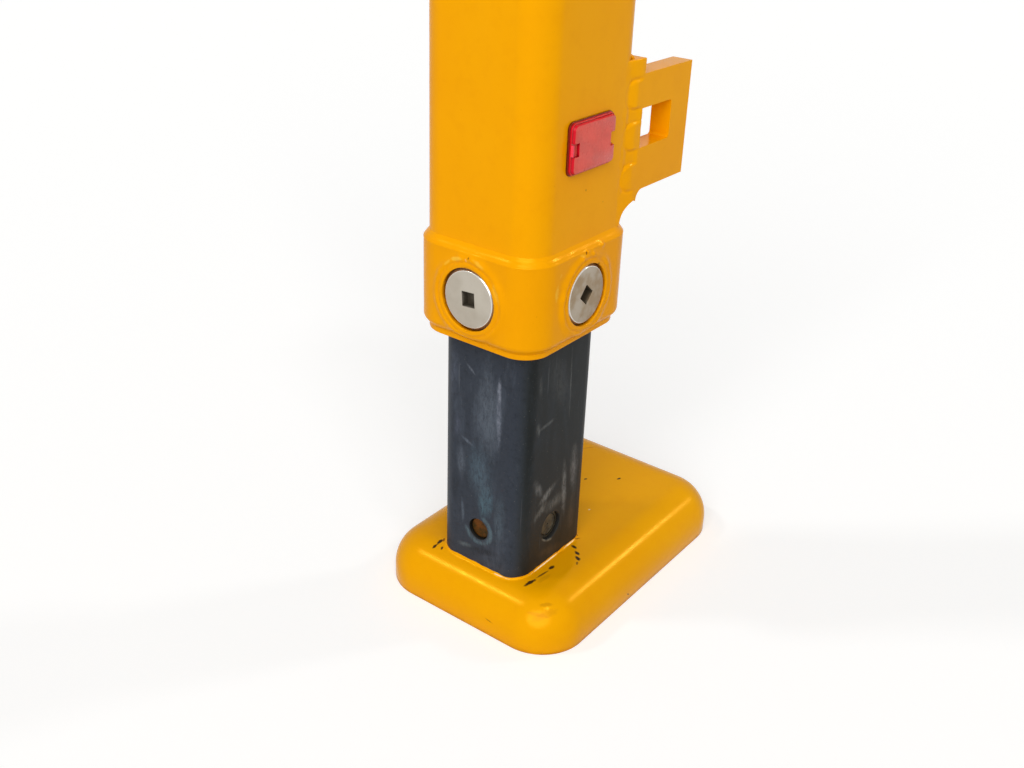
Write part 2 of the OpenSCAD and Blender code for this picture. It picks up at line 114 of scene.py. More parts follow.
def settle(ob):
    """Turns an object's modifiers into its mesh."""
    bpy.context.view_layer.update()
    graph = bpy.context.evaluated_depsgraph_get()
    mesh = bpy.data.meshes.new_from_object(ob.evaluated_get(graph))
    ob.modifiers.clear()
    ob.data = mesh


def carve(ob, *tools, operation="DIFFERENCE"):
    """Cuts the tools out of the object, or keeps only what lies in them."""
    for tool in tools:
        cut = ob.modifiers.new("cut", "BOOLEAN")
        cut.operation, cut.solver, cut.object = operation, "EXACT", tool
        settle(ob)
        bpy.data.objects.remove(tool)
    for face in ob.data.polygons:
        face.use_smooth = True


def soften(ob, width, segments, angle=35):
    """Rounds the sharp edges and keeps the flats flat."""
    edge = ob.modifiers.new("edge", "BEVEL")
    edge.width, edge.segments = width * MM, segments
    edge.limit_method, edge.angle_limit = "ANGLE", math.radians(angle)
    edge.harden_normals = True
    settle(ob)


def mark_sharp(ob, angle):
    """Keeps the edges sharper than the angle crisp on a smooth mesh."""
    ob.data.set_sharp_from_angle(angle=math.radians(angle))


def outline(w, d, r, steps, pitch=None):
    """Points and normals round a rounded rectangle, anticlockwise: (x, y, nx, ny, u).

    u is the place along a flat side from its middle, and None on a corner.
    """
    row = []
    for k in range(4):
        turn = math.radians(90 * k)
        nx, ny = math.cos(turn), math.sin(turn)
        reach, half = ((w, d), (d, w))[k % 2]
        reach, half = reach / 2, half / 2 - r
        count = 1 if pitch is None else max(1, round(2 * half / pitch))
        for j in range(count + 1):
            u = -half + 2 * half * j / count
            row.append((nx * reach - ny * u, ny * reach + nx * u, nx, ny, u))
        cx, cy = nx * (reach - r) - ny * half, ny * (reach - r) + nx * half
        for j in range(1, steps):
            a = turn + math.pi / 2 * j / steps
            row.append((cx + r * math.cos(a), cy + r * math.sin(a), math.cos(a), math.sin(a), None))
    return row


def stack(rows, cap=True):
    """Points and faces of rings joined one to the next, closed by flat ends or joined up."""
    cols, last, faces = len(rows[0]), len(rows) - 1, []
    for j in range(last if cap else last + 1):
        a, b = j * cols, (j + 1) % len(rows) * cols
        faces += [(a + i, a + (i + 1) % cols, b + (i + 1) % cols, b + i) for i in range(cols)]
    if cap:
        faces += [tuple(range(cols))[::-1], tuple(range(last * cols, (last + 1) * cols))]
    return [p for row in rows for p in row], faces


def rect_row(w, d, r, z, steps=16, at=(0, 0)):
    """A rounded rectangle's points at a height."""
    return [(x + at[0], y + at[1], z) for x, y, *_ in outline(w, d, max(r, 0.01), steps)]


def hollow_bar(name, w, d, r, wall, z0, z1):
    """A rounded tube, open at both ends."""
    inner = (w - 2 * wall, d - 2 * wall, r - wall)
    rows = [rect_row(w, d, r, z0), rect_row(w, d, r, z1),
            rect_row(*inner, z1), rect_row(*inner, z0)]
    return solid(name, *stack(rows, cap=False))


def lathe(name, profile, matrix, steps):
    """A turned form: the profile gives radius and place along the axis, which is the matrix's z."""
    rows = []
    for r, z in profile:
        rows.append([tuple(matrix @ Vector((r * math.cos(a), r * math.sin(a), z)))
                     for a in (2 * math.pi * i / steps for i in range(steps))])
    return solid(name, *stack(rows))


def prism(name, shape, y0, y1, base_z=0):
    """A flat shape in x and z, drawn out along y."""
    rows = [[(x, y, z + base_z) for x, z in shape] for y in (y0, y1)]
    return solid(name, *stack(rows))


def arc(cx, cy, r, a0, a1, steps):
    """Points on a circle from one angle to another."""
    turns = (math.radians(a0 + (a1 - a0) * i / steps) for i in range(steps + 1))
    return [(cx + r * math.cos(a), cy + r * math.sin(a)) for a in turns]


def side_matrix(turn, z):
    """Local z points out of the leg's side, which is turned from the inboard one."""
    return (Matrix.Translation((0, 0, z)) @ Matrix.Rotation(math.radians(turn), 4, "Z")
            @ Matrix.Rotation(math.radians(90), 4, "Y"))


def along_y(x, z, sign=-1):
    """Local z points along y, and local x stays."""
    return Matrix.Translation((x, 0, z)) @ Matrix.Rotation(math.radians(-90 * sign), 4, "X")


def cross_tool(r, x, z):
    """A round cut along y, right through the leg."""
    reach = 120
    return lathe("tool", [(r, -reach), (r, reach)], along_y(x, z), 64)


def side_tool(r, turn, z, reach, steps):
    """A round cut through the wall of one side, from inside the leg."""
    start = 40
    return lathe("tool", [(r, start), (r, reach)], side_matrix(turn, z), steps)


# Welds

# Sections of a weld and of a seam filled with paint, in leg lengths off the two plates
BEAD = [(1.08, -0.12), (1, 0.03), (0.84, 0.30), (0.60, 0.60), (0.30, 0.84), (0.03, 1),
        (-0.12, 1.08), (-0.3, -0.3)]
HOLLOW = [(1.5, -0.12), (1.2, -0.03), (1, 0.005), (0.74, 0.04), (0.5, 0.14), (0.29, 0.3),
          (0.14, 0.5), (0.04, 0.75), (0, 1), (-0.03, 1.2), (-0.12, 1.5), (-0.3, -0.3)]

# Length and height of a weld's ripples, and how uneven the weld is
RIPPLE, RIPPLE_HIGH, UNEVEN = 3.2, 0.07, 0.16


class Heap:
    """Welds that make one piece."""

    def __init__(self):
        self.points, self.faces = [], []

    def bead(self, path, a_dirs, b_dirs, leg, closed=True):
        """A fillet weld between the two directions at each point of the path."""
        rows, run = [], 0
        for i, p in enumerate(path):
            p = Vector(p)
            if i:
                run += (p - Vector(path[i - 1])).length
            swell = 1 + RIPPLE_HIGH * math.sin(2 * math.pi * run / RIPPLE)
            swell += UNEVEN * noise.noise(p * 0.06)
            if not closed:
                swell *= min(1, 0.35 + 0.65 * min(i, len(path) - 1 - i) / 3)
            a, b = Vector(a_dirs[i]), Vector(b_dirs[i])
            size = leg * swell
            rows.append([tuple(p + (a * s * size + b * t * size)) for s, t in BEAD])
        base = len(self.points)
        points, faces = stack(rows, cap=not closed)
        self.points += points
        self.faces += [tuple(base + i for i in face) for face in faces]

    def round_bead(self, centre, r, out, leg):
        """A weld round a boss: out is the direction that the boss stands off its plate."""
        centre, out = Vector(centre), Vector(out)
        side = out.orthogonal().normalized()
        other = out.cross(side)
        steps = max(48, int(2 * math.pi * r / 1.2))
        turns = [2 * math.pi * i / steps for i in range(steps)]
        spokes = [side * math.cos(t) + other * math.sin(t) for t in turns]
        self.bead([centre + s * r for s in spokes], spokes, [out] * steps, leg)

    def make(self, name):
        return solid(name, self.points, self.faces)


# Finishes


class Finish:
    """A material's nodes, on the object's own coordinates in metres."""

    def __init__(self, name, sockets):
        self.material = bpy.data.materials.new(name)
        self.material.use_nodes = True
        self.tree = self.material.node_tree
        self.shader = self.tree.nodes["Principled BSDF"]
        self.place = self.node("ShaderNodeTexCoord").outputs["Object"]
        for key, value in sockets.items():
            self.shader.inputs[key].default_value = value

    def node(self, kind, inputs=None, **settings):
        """A node whose inputs are linked where they are sockets and set where they are values."""
        made = self.tree.nodes.new(kind)
        for key, value in settings.items():
            setattr(made, key, value)
        for key, value in (inputs or {}).items():
            if isinstance(value, bpy.types.NodeSocket):
                self.tree.links.new(value, made.inputs[key])
            else:
                made.inputs[key].default_value = value
        return made

    def math(self, operation, a, b=0):
        return self.node("ShaderNodeMath", {0: a, 1: b}, operation=operation).outputs[0]

    def times(self, a, b):
        return self.math("MULTIPLY", a, b)

    def noise(self, scale, detail=3, rough=0.55, stretch=(1, 1, 1), twist=0):
        at = self.node("ShaderNodeMapping", {"Vector": self.place, "Scale": stretch}).outputs[0]
        return self.node("ShaderNodeTexNoise", {"Vector": at, "Scale": scale, "Detail": detail,
                                                "Roughness": rough, "Distortion": twist}).outputs[0]

    def step(self, value, low, high, start=0, end=1):
        """A soft step from start to end, as the value goes from low to high."""
        return self.node("ShaderNodeMapRange", {"Value": value, "From Min": low, "From Max": high,
                                                "To Min": start, "To Max": end},
                         interpolation_type="SMOOTHSTEP").outputs[0]

    def mix(self, share, first, second):
        """The first colour, with that share of the second: sockets or tones as on a screen."""
        first, second = (rgb(*c) if isinstance(c, tuple) else c for c in (first, second))
        made = self.node("ShaderNodeMix", {0: share, 6: first, 7: second}, data_type="RGBA")
        return made.outputs[2]

    def axis(self, which, source=None):
        parts = self.node("ShaderNodeSeparateXYZ", {0: source or self.place})
        return parts.outputs["XYZ".index(which)]

    def normal(self):
        return self.node("ShaderNodeNewGeometry").outputs["Normal"]

    def cavity(self, reach, samples=6):
        """1 in the open, falling to 0 in corners."""
        made = self.node("ShaderNodeAmbientOcclusion", {"Distance": reach}, samples=samples)
        return made.outputs["AO"]

    def stroke(self, a, b, thick, rag, soft):
        """1 inside a long ragged spot between two points, in millimetres about the leg's axis."""
        a, b = Vector(a), Vector(b)
        middle = (a + b) / 2
        local = self.node("ShaderNodeMapping", {
            "Vector": self.place,
            "Location": ((middle.x + AXIS_X) * MM, (middle.y + AXIS_Y) * MM, middle.z * MM),
            "Rotation": tuple((b - a).to_track_quat("X", "Z").to_euler()),
            "Scale": (((b - a).length / 2 + thick) * MM, thick * MM, thick * MM),
        }, vector_type="TEXTURE")
        far = self.node("ShaderNodeVectorMath", {0: local.outputs[0]}, operation="LENGTH")
        ragged = self.math("ADD", far.outputs["Value"], self.math("SUBTRACT", rag, 0.5))
        return self.step(ragged, 1, 1 - soft)

    def marks(self, colour, table, rag, grain=None):
        """Lays a table's chips and scuffs, and its painted highlights, reflections and shade, over the
        colour, broken up by the grain.
        """
        for *ends, thick, share, tone in table:
            mark = self.stroke(ends[:3], ends[3:], thick, rag, 0.5 if grain is None else 0.95)
            if grain is not None:
                mark = self.times(mark, grain)
            colour = self.mix(self.times(mark, share), colour, tone)
        return colour

    def set(self, **sockets):
        """Links values to the shader's sockets."""
        for key, value in sockets.items():
            self.tree.links.new(value, self.shader.inputs[key.replace("_", " ")])

    def bump(self, height, depth, strength, under=None):
        inputs = {"Height": height, "Distance": depth * MM, "Strength": strength}
        if under is not None:
            inputs["Normal"] = under
        return self.node("ShaderNodeBump", inputs).outputs[0]


# Chips, scuffs and some painted light: x, y and z of one end and of the other, half width, strength and tone
BLACK, BROWN, OCHRE = (34, 28, 22), (112, 60, 14), (196, 122, 20)
PALE, CREAM_CHIP_HIGHLIGHT, GOLD_HIGHLIGHT = (250, 226, 170), (250, 228, 180), (255, 200, 62)
FOOT_MARKS = [
    (-77, 67, -521, -71, 66, -520, 2.6, 0.95, BLACK), (-68, 66, -519, -61, 66, -518, 3, 0.95, BLACK),
    (-73, 56, -520, -70, 57, -519, 2.2, 0.9, BLACK), (-61, 63, -518, -57, 65, -518, 2, 0.8, BROWN),
    (-67, -70, -518, -50, -73, -518, 3.4, 0.95, BLACK), (-47, -72, -518, -24, -75, -518, 1.8, 0.75, BLACK),
    (-21, -74, -518, -14, -74, -518, 3, 0.95, BLACK), (-52, -79, -518, -30, -81, -518, 4, 0.15, BROWN),
    (36, -67, -518, 35, -74, -518, 3, 0.95, BLACK), (28, -79, -518, 26, -84, -518, 3, 0.95, BLACK),
    (20, -85, -518, 17, -91, -518, 3.2, 0.95, BLACK), (12, -92, -518, 8, -94, -518, 1.8, 0.7, BLACK),
    (39, -55, -518, 58, -67, -518, 1.3, 0.7, BROWN), (44, -50, -518, 40, -58, -518, 2.4, 0.9, PALE),
    (62, -49, -518, 67, -50, -518, 2, 0.8, PALE), (-90, -93, -533, -79, -114, -535, 3.2, 0.3, OCHRE),
    (-90, -102, -538, -68, -118, -531, 6, 0.25, OCHRE), (-77, -101, -526, -67, -111, -525, 3, 0.25, BROWN),
    (176, 9, -518, 178, 8, -518, 2, 0.95, BLACK), (206, -26, -518, 210, -27, -518, 2, 0.95, BLACK),
    (117, -38, -518, 118, -38, -518, 1.6, 0.8, PALE), (74, -45, -518, 75, -46, -518, 1.4, 0.8, BLACK),
    (96, 84, -519, 120, 96, -519, 2.2, 0.5, BROWN), (240, 60, -518, 262, 44, -518, 1.4, 0.5, OCHRE),
    (-104, -40, -560, -104, -52, -562, 1.2, 0.6, BROWN), (60, -139, -572, 64, -139, -575, 1.4, 0.7, BLACK),
    # A pale line along the seam at the leg's foot: chipped paint along its edge, with a painted highlight
    (-71.4, -24, -519, -69, -48, -519, 1, 0.9, CREAM_CHIP_HIGHLIGHT), (-69, -48, -518.6, -48, -63.2, -517.4, 1.1, 1, CREAM_CHIP_HIGHLIGHT),
    (-48, -63.2, -517.2, 20, -63.2, -516.8, 1, 1, CREAM_CHIP_HIGHLIGHT),
    (20, -63.2, -516.8, 52, -62.5, -516.8, 1, 0.95, CREAM_CHIP_HIGHLIGHT), (56, -62, -516, 60, -60, -516, 2, 0.9, BROWN),
    (-71.2, 30, -518.6, -71.2, 52, -518.6, 1, 0.6, BROWN),
]
CASING_MARKS = [
    (-97, 0, -110.5, -97, -1, -114, 1.3, 1, (96, 44, 8)),
    (-98, 3, -113, -98, 2.5, -115, 1.4, 0.6, (255, 190, 110)),
    (-97, 8, -121.8, -97, 8, -123.6, 1.1, 0.9, BLACK), (-5, -87, -106.6, -5.4, -87, -109, 1.7, 1, BROWN),
    (1, -87, -106, 2, -87, -107, 0.9, 0.8, BROWN), (16, -87, -125.5, 20, -87, -127, 1.5, 1, BLACK),
    # Painted highlights on the ring beads round the plugs, on the slopes that face the light
    (-98, 24, -117, -98, 9, -113.5, 2.8, 0.7, GOLD_HIGHLIGHT), (-98, 32, -126, -98, 25, -119, 2, 0.45, GOLD_HIGHLIGHT),
    (-98, -8, -111, -98, -20, -117, 2.6, 0.5, GOLD_HIGHLIGHT), (-98, -34, -131, -98, -42, -150, 3.6, 0.4, GOLD_HIGHLIGHT),
    (-56, -88, -150, -54, -88, -132, 4.4, 0.6, GOLD_HIGHLIGHT), (-52, -88, -126, -47, -88, -119, 3.2, 0.6, GOLD_HIGHLIGHT),
    (-44, -88, -116, -26, -88, -108, 2.8, 0.45, GOLD_HIGHLIGHT), (-20, -88, -108, -8, -88, -110, 2.6, 0.6, GOLD_HIGHLIGHT),
    (-3, -79, -41, -3, -79, -42.5, 0.8, 0.8, BROWN), (31, -79, -62, 31.5, -79, -63, 0.7, 0.6, BROWN),
]
LEG_MARKS = [
    # On the outboard face, at x -70, the lighter blue-grey patches are wear with a painted sky reflection in
    # their tone
    (-70, -10, -258, -70, -12, -350, 26, 0.75, (98, 106, 116)),
    (-70, -24, -250, -70, -28, -354, 5, 0.9, (122, 127, 140)),
    (-70, -25, -254, -70, -27, -290, 3.6, 0.9, (138, 142, 154)),
    (-70, 23, -250, -70, 8, -262, 2.2, 0.8, (112, 118, 128)),
    (-70, 28, -347, -70, 12, -354, 3.4, 0.8, (110, 118, 130)),
    (-70, 29, -362, -70, 27, -400, 10, 0.8, (100, 107, 118)),
    (-70, -5, -408, -70, -6, -446, 9, 0.9, (84, 110, 122)),
    (-70, -15, -406, -70, -15, -440, 8, 0.9, (80, 104, 116)),
    (-70, 26, -432, -70, 24, -468, 3.4, 0.8, (100, 110, 122)),
    (-70, 3, -363, -70, -3, -412, 26, 0.7, (84, 102, 114)),
    (-70, -31, -405, -70, -30, -476, 12, 0.7, (84, 98, 108)),
    (-70, 40, -240, -70, 42, -300, 12, 0.5, (92, 98, 112)),
    (-70, 36, -400, -70, 38, -440, 9, 0.7, (26, 28, 32)),
    (-70, 24, -501, -70, -34, -491, 7, 0.8, (24, 25, 27)),
    (-70, 10, -496, -70, 30, -500, 5, 0.8, (96, 106, 110)),
    (-70, 34, -320, -70, 36, -350, 8, 0.6, (88, 92, 108)),
    (-46, -62, -320, -8, -62, -316, 3.6, 0.8, (98, 100, 99)),
    (-43, -62, -312, -42, -62, -324, 5, 0.8, (104, 106, 104)),
    (-44, -62, -390, -30, -62, -412, 8, 0.9, (112, 112, 111)),
    (-34, -62, -424, -2, -62, -408, 8, 1, (124, 123, 120)),
    (-38, -62, -440, -24, -62, -430, 9, 1, (114, 113, 108)),
    (-16, -62, -436, 12, -62, -434, 12, 0.9, (104, 103, 98)),
    (14, -62, -380, 20, -62, -470, 7, 1, (124, 122, 119)),
    (34, -62, -372, 38, -62, -440, 11, 1, (108, 106, 104)),
    (-43, -62, -248, -41, -62, -280, 5, 0.6, (84, 85, 84)),
    (-20, -62, -240, 10, -62, -300, 24, 0.5, (78, 80, 80)),
    (36, -62, -444, 37, -62, -506, 10, 0.7, (84, 72, 62)),
    (-30, -62, -498, 18, -62, -508, 9, 0.8, (88, 70, 52)),
    (-24, -62, -478, -14, -62, -486, 2.4, 1, (150, 146, 132)),
    (-14, -62, -486, -3, -62, -488, 2.4, 1, (150, 146, 132)),
    (16, -62, -224, 19, -62, -335, 2, 0.8, (92, 93, 92)),
    (33, -62, -224, 34, -62, -350, 10, 0.6, (34, 37, 38)),
    # Painted shade: a dark strip on the rear inboard corner, where it turns from the light
    (52, -60, -220, 52, -60, -500, 7, 0.6, (26, 28, 28)),
]

# A greasy halo round the access hole, lighter blue-grey as a painted sky reflection on the grease
HALO_R, HALO_TURN = 19.5, 0.6
LEG_MARKS += [
    (-INNER_W / 2, HALO_R * math.cos(k), Z_LOWER_PIN + HALO_R * math.sin(k),
     -INNER_W / 2, HALO_R * math.cos(k + HALO_TURN), Z_LOWER_PIN + HALO_R * math.sin(k + HALO_TURN),
     5, 0.8, (92, 112, 120)) for k in (1.9, 2.5, 3.1, 3.7, 4.3, 4.9, 5.5)
]


# Heights in metres between which the casing's paint turns darker and more orange, and where the leg's dust
# sets in
TONE_DOWN_TOP, TONE_DOWN_FULL = -0.102, -0.112
DUST_TOP, DUST_FULL = -0.36, -0.52


def yellow_paint(marks, main, other, tone_down=0):
    """Gloss paint: orange peel, painted shade and grime in corners, darker low down, and a table's marks."""
    f = Finish("yellow_paint", {"Metallic": 0.07, "Specular IOR Level": 0.035})
    broad = f.noise(5, 2)
    fine = f.noise(60, 5, 0.6)
    colour = f.mix(f.step(broad, 0.3, 0.7), main, other)
    colour = f.mix(f.step(fine, 0.45, 0.75, 0, 0.14), colour, (234, 148, 0))
    # Darker, more orange paint below a height
    toned_down = f.step(f.axis("Z"), TONE_DOWN_TOP, TONE_DOWN_FULL, 0, tone_down)
    colour = f.mix(toned_down, colour, (240, 153, 0))
    # Painted shade with grime: darker orange in corners and at the feet of welds, broken up by noise
    corner_shade = f.step(f.cavity(0.012), 0.75, 0.3)
    corner_shade_and_grime = f.times(corner_shade, f.step(f.noise(90, 4), 0.25, 0.6, 0.3, 0.8))
    colour = f.mix(corner_shade_and_grime, colour, (160, 88, 4))
    streak = f.noise(14, 4, 0.6, stretch=(1, 1, 0.12))
    colour = f.mix(f.step(streak, 0.58, 0.8, 0, 0.10), colour, (206, 132, 4))
    speck = f.noise(420, 2, 0.5)
    colour = f.mix(f.step(speck, 0.75, 0.80, 0, 0.4), colour, (140, 84, 10))
    rag = f.noise(260, 5, 0.7)
    colour = f.marks(colour, marks, rag)
    rough = f.step(f.noise(40, 4), 0.3, 0.7, 0.17, 0.26)
    peel = f.bump(f.noise(330, 2, 0.5), 0.05, 0.5)
    wave = f.bump(f.noise(9, 1.5, 0.4), 1.1, 0.35, peel)
    f.set(Base_Color=colour, Roughness=rough, Normal=wave)
    return f


def leg_black():
    """Scuffed black paint with scratches, flecks and dust; painted sky reflection outboard, painted shade
    behind and in corners.
    """
    f = Finish("leg_black", {"Specular IOR Level": 0.09})
    faces_out = f.step(f.axis("X", f.normal()), -0.45, -1)
    lies_out = f.step(f.axis("X"), (AXIS_X - 50) * MM, (AXIS_X - 60) * MM)
    outboard = f.times(faces_out, lies_out)
    tall = f.noise(30, 6, 0.68, stretch=(1, 1, 0.24), twist=0.6)
    cloud = f.noise(13, 5, 0.65, stretch=(1, 1, 0.45), twist=0.8)
    # Painted light: a darker base on the rear face as shade, and a lighter blue-grey one on the outboard
    # face as sky reflection
    rear_in_shade = f.step(f.axis("Y", f.normal()), -0.7, -1)
    base = f.mix(rear_in_shade, (40, 44, 45), (30, 33, 33))
    base = f.mix(outboard, base, (52, 57, 66))
    worn = f.times(f.step(tall, 0.42, 0.70), f.step(cloud, 0.38, 0.62))
    # Wear, laid on more strongly on the outboard face along with its painted reflection
    worn_share = f.times(worn, f.step(outboard, 0, 1, 0.3, 0.7))
    colour = f.mix(worn_share, base, (80, 87, 98))
    mottle = f.step(f.noise(120, 8, 0.8), 0.46, 0.70, 0, 0.4)
    colour = f.mix(mottle, colour, (22, 24, 27))
    rag = f.noise(90, 6, 0.75, stretch=(1, 1, 0.6))
    grain = f.step(f.noise(230, 7, 0.8, stretch=(1, 1, 0.4), twist=0.4), 0.28, 0.66)
    colour = f.marks(colour, LEG_MARKS, rag, grain)
    scratch = f.step(f.noise(190, 3, 0.5, stretch=(1, 1, 0.035)), 0.66, 0.75, 0, 0.35)
    colour = f.mix(scratch, colour, (104, 108, 114))
    fleck = f.step(f.noise(520, 2, 0.5), 0.70, 0.76, 0, 0.45)
    colour = f.mix(fleck, colour, (118, 116, 108))
    low = f.times(f.step(f.axis("Z"), DUST_TOP, DUST_FULL), f.math("SUBTRACT", 1, outboard))
    dust = f.times(low, f.step(cloud, 0.3, 0.65, 0.1, 0.5))
    colour = f.mix(dust, colour, (60, 55, 47))
    # Painted shade: near-black in holes, under the collar and where parts meet
    recess_shade = f.step(f.cavity(0.02, 12), 0.72, 0.36, 0, 0.85)
    colour = f.mix(recess_shade, colour, (24, 20, 17))
    rough = f.step(worn, 0, 1, 0.40, 0.58)
    peel = f.bump(f.noise(260, 3, 0.5), 0.05, 0.5)
    scrape = f.bump(tall, 0.08, 0.5, peel)
    f.set(Base_Color=colour, Roughness=rough, Normal=scrape)
    return f


def worn_metal(name, light, dark, metallic, low_rough, high_rough, scale):
    """Metal clouded between two tones and two roughnesses, with painted shade and grime in its corners."""
    f = Finish(name, {"Metallic": metallic})
    cloud = f.noise(scale, 5, 0.6)
    fine = f.noise(scale * 9, 3, 0.6)
    colour = f.mix(f.step(cloud, 0.35, 0.7), light, dark)
    colour = f.mix(f.step(fine, 0.6, 0.75, 0, 0.35), colour, dark)
    # Painted shade with grime: darker brown in corners
    corner_shade_and_grime = f.step(f.cavity(0.008), 0.8, 0.3, 0, 0.85)
    colour = f.mix(corner_shade_and_grime, colour, (58, 44, 26))
    f.set(Base_Color=colour, Roughness=f.step(cloud, 0.3, 0.7, low_rough, high_rough),
          Normal=f.bump(fine, 0.05, 0.5))
    return f


def ram_paint():
    """Black paint with dust on what faces up."""
    f = Finish("black_paint", {"Specular IOR Level": 0.5})
    cloud = f.noise(16, 5, 0.6)
    colour = f.mix(f.step(cloud, 0.35, 0.7), (34, 34, 35), (46, 44, 42))
    up = f.step(f.axis("Z", f.normal()), 0.2, 0.9)
    dust = f.times(up, f.step(f.noise(70, 5), 0.35, 0.65, 0.15, 0.7))
    colour = f.mix(dust, colour, (112, 98, 76))
    f.set(Base_Color=colour, Roughness=f.step(cloud, 0.3, 0.7, 0.28, 0.42),
          Normal=f.bump(f.noise(300, 2), 0.05, 0.4))
    return f


def nylon():
    """Dull grey plastic of the wear pads."""
    f = Finish("wear_plastic", {"Specular IOR Level": 0.45})
    cloud = f.noise(50, 5, 0.6)
    colour = f.mix(f.step(cloud, 0.35, 0.7), (58, 60, 58), (84, 82, 74))
    f.set(Base_Color=colour, Roughness=f.step(cloud, 0.3, 0.7, 0.42, 0.6),
          Normal=f.bump(f.noise(400, 3), 0.04, 0.5))
    return f


# Radii in metres between which a plug's chamfer, painted light as a highlight, sets in, and its rings' phase
# a metre
CHAMFER_FROM, CHAMFER_FULL, RINGS = 0.0312, 0.0317, 6500


def zinc():
    """Turned, plated plugs: faint rings about each axis, painted highlight on the chamfer, painted shade in
    the socket, rear one browner as painted reflection.
    """
    f = Finish("zinc_plate", {"Specular IOR Level": 0.5})
    x = f.math("ABSOLUTE", f.math("SUBTRACT", f.axis("X"), AXIS_X * MM))
    y = f.math("ABSOLUTE", f.math("SUBTRACT", f.axis("Y"), AXIS_Y * MM))
    z = f.math("SUBTRACT", f.axis("Z"), (Z_LOW + PLUG_UP) * MM)
    side = f.math("MINIMUM", x, y)
    from_axis = f.math("SQRT", f.math("ADD", f.times(side, side), f.times(z, z)))
    rings = f.math("SINE", f.times(from_axis, RINGS))
    cloud = f.noise(22, 3, 0.5)
    fine = f.noise(480, 4, 0.6)
    colour = f.mix(f.step(cloud, 0.35, 0.7), (192, 184, 170), (176, 166, 150))
    colour = f.mix(f.step(fine, 0.58, 0.75, 0, 0.25), colour, (150, 138, 118))
    # Painted reflection: the rear plug is browner, as if mirroring yellow surroundings
    behind = f.step(f.axis("Y"), (AXIS_Y - 70) * MM, (AXIS_Y - 78) * MM)
    rear_reflection = f.times(behind, f.step(f.noise(34, 4, 0.6), 0.40, 0.62, 0.35, 0.85))
    colour = f.mix(rear_reflection, colour, (146, 120, 84))
    # Painted highlight: the chamfer is painted light grey
    chamfer = f.step(from_axis, CHAMFER_FROM, CHAMFER_FULL)
    colour = f.mix(chamfer, colour, (226, 224, 216))
    hidden = f.step(f.cavity(0.014, 12), 0.86, 0.52, 0, 0.94)
    shade = f.times(hidden, f.step(chamfer, 0, 1, 1, 0.35))
    colour = f.mix(shade, colour, (62, 54, 40))
    height = f.math("ADD", f.times(rings, 0.5), fine)
    rough = f.times(f.step(cloud, 0.3, 0.7, 0.38, 0.48), f.step(chamfer, 0, 1, 1, 0.45))
    f.set(Base_Color=colour, Metallic=f.step(chamfer, 0, 1, 0.4, 0.85), Roughness=rough,
          Normal=f.bump(height, 0.02, 0.4))
    return f


def reflector_red(name, face, wall, depth):
    """Clear red plastic: the flat front shows its prisms and is painted pink as their sheen, walls deeper
    red, corners painted shade.
    """
    f = Finish(name, {"Specular IOR Level": 0.3, "Specular Tint": (1, 0.5, 0.5, 1)})
    front = f.step(f.axis("Y", f.normal()), -0.86, -0.97)
    prisms = f.node("ShaderNodeTexVoronoi", {"Vector": f.place, "Scale": 380}, feature="F1")
    prism_edge = f.step(prisms.outputs["Distance"], 0.25, 0.6, 0, depth)
    cloud = f.noise(45, 4, 0.6)
    dull = tuple(int(c * 0.93) for c in face)
    # Painted sheen: the front face takes the lighter pink tone, the walls the deep red
    flat = f.mix(f.step(cloud, 0.35, 0.65), face, dull)
    flat = f.mix(prism_edge, flat, wall)
    # Painted shade: dark red in the corners
    corner_shade = f.step(f.cavity(0.004), 0.85, 0.45, 0, 0.75)
    colour = f.mix(front, f.mix(corner_shade, wall, (96, 6, 8)), flat)
    f.set(Base_Color=colour, Roughness=f.step(f.noise(80, 4), 0.3, 0.7, 0.22, 0.36))
    return f


# worn_metal's arguments: light and dark tone, metallic, roughness from and to, and scale
PIN_STEEL = ((84, 78, 62), (50, 46, 36), 0.6, 0.4, 0.55, 110)
ROD_CHROME = ((205, 206, 208), (178, 180, 182), 1, 0.08, 0.18, 20)
FINISHES = {
    "yellow_paint": yellow_paint(CASING_MARKS, (254, 174, 0), (250, 167, 0), 0.4),
    "leg_black": leg_black(),
    "zinc_plate": zinc(),
    "pin_steel": worn_metal("pin_steel", *PIN_STEEL),
    "rod_chrome": worn_metal("rod_chrome", *ROD_CHROME),
    "black_paint": ram_paint(),
    "wear_plastic": nylon(),
    "reflector_red": reflector_red("reflector_red", (238, 100, 86), (214, 16, 38), 0.14),
}
# The foot's copy of the yellow paint is darker: painted shade, as from the machine above the foot
FOOT_PAINT_SHADED = yellow_paint(FOOT_MARKS, (246, 172, 0), (241, 165, 0))
REFLECTOR_RIM = reflector_red("reflector_rim", (150, 16, 18), (128, 34, 12), 0)
# The clip is painted bright pink as a glint on the reflector's rim
REFLECTOR_CLIP_GLINT = reflector_red("reflector_clip_glint", (255, 74, 96), (255, 74, 96), 0)
SCREW_ZINC = worn_metal("screw_zinc", (178, 172, 158), (138, 130, 112), 0.75, 0.34, 0.5, 120)
GREASY = worn_metal("greasy_steel", (108, 60, 9), (44, 39, 8), 0.85, 0.4, 0.55, 48)


def dress(ob, slot, body, *replaced, finish=None):
    """Gives a piece the slot's finish unless another is given, puts it in its body, and hides the nodes it
    stands for.
    """
    ob.data.materials.clear()
    ob.data.materials.append((finish or FINISHES[slot]).material)
    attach(ob, body)
    if replaced:
        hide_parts(*replaced)


# Outer leg and its collar

# Turn from the inboard side, distance of the face from the axis, and turn of the plug's drive
SIDES = {
    "inboard": (0, OUTER_W / 2, 68),
    "forward": (90, OUTER_D / 2, 22),
    "outboard": (180, OUTER_W / 2, 4),
    "rear": (270, OUTER_D / 2, 48),
}


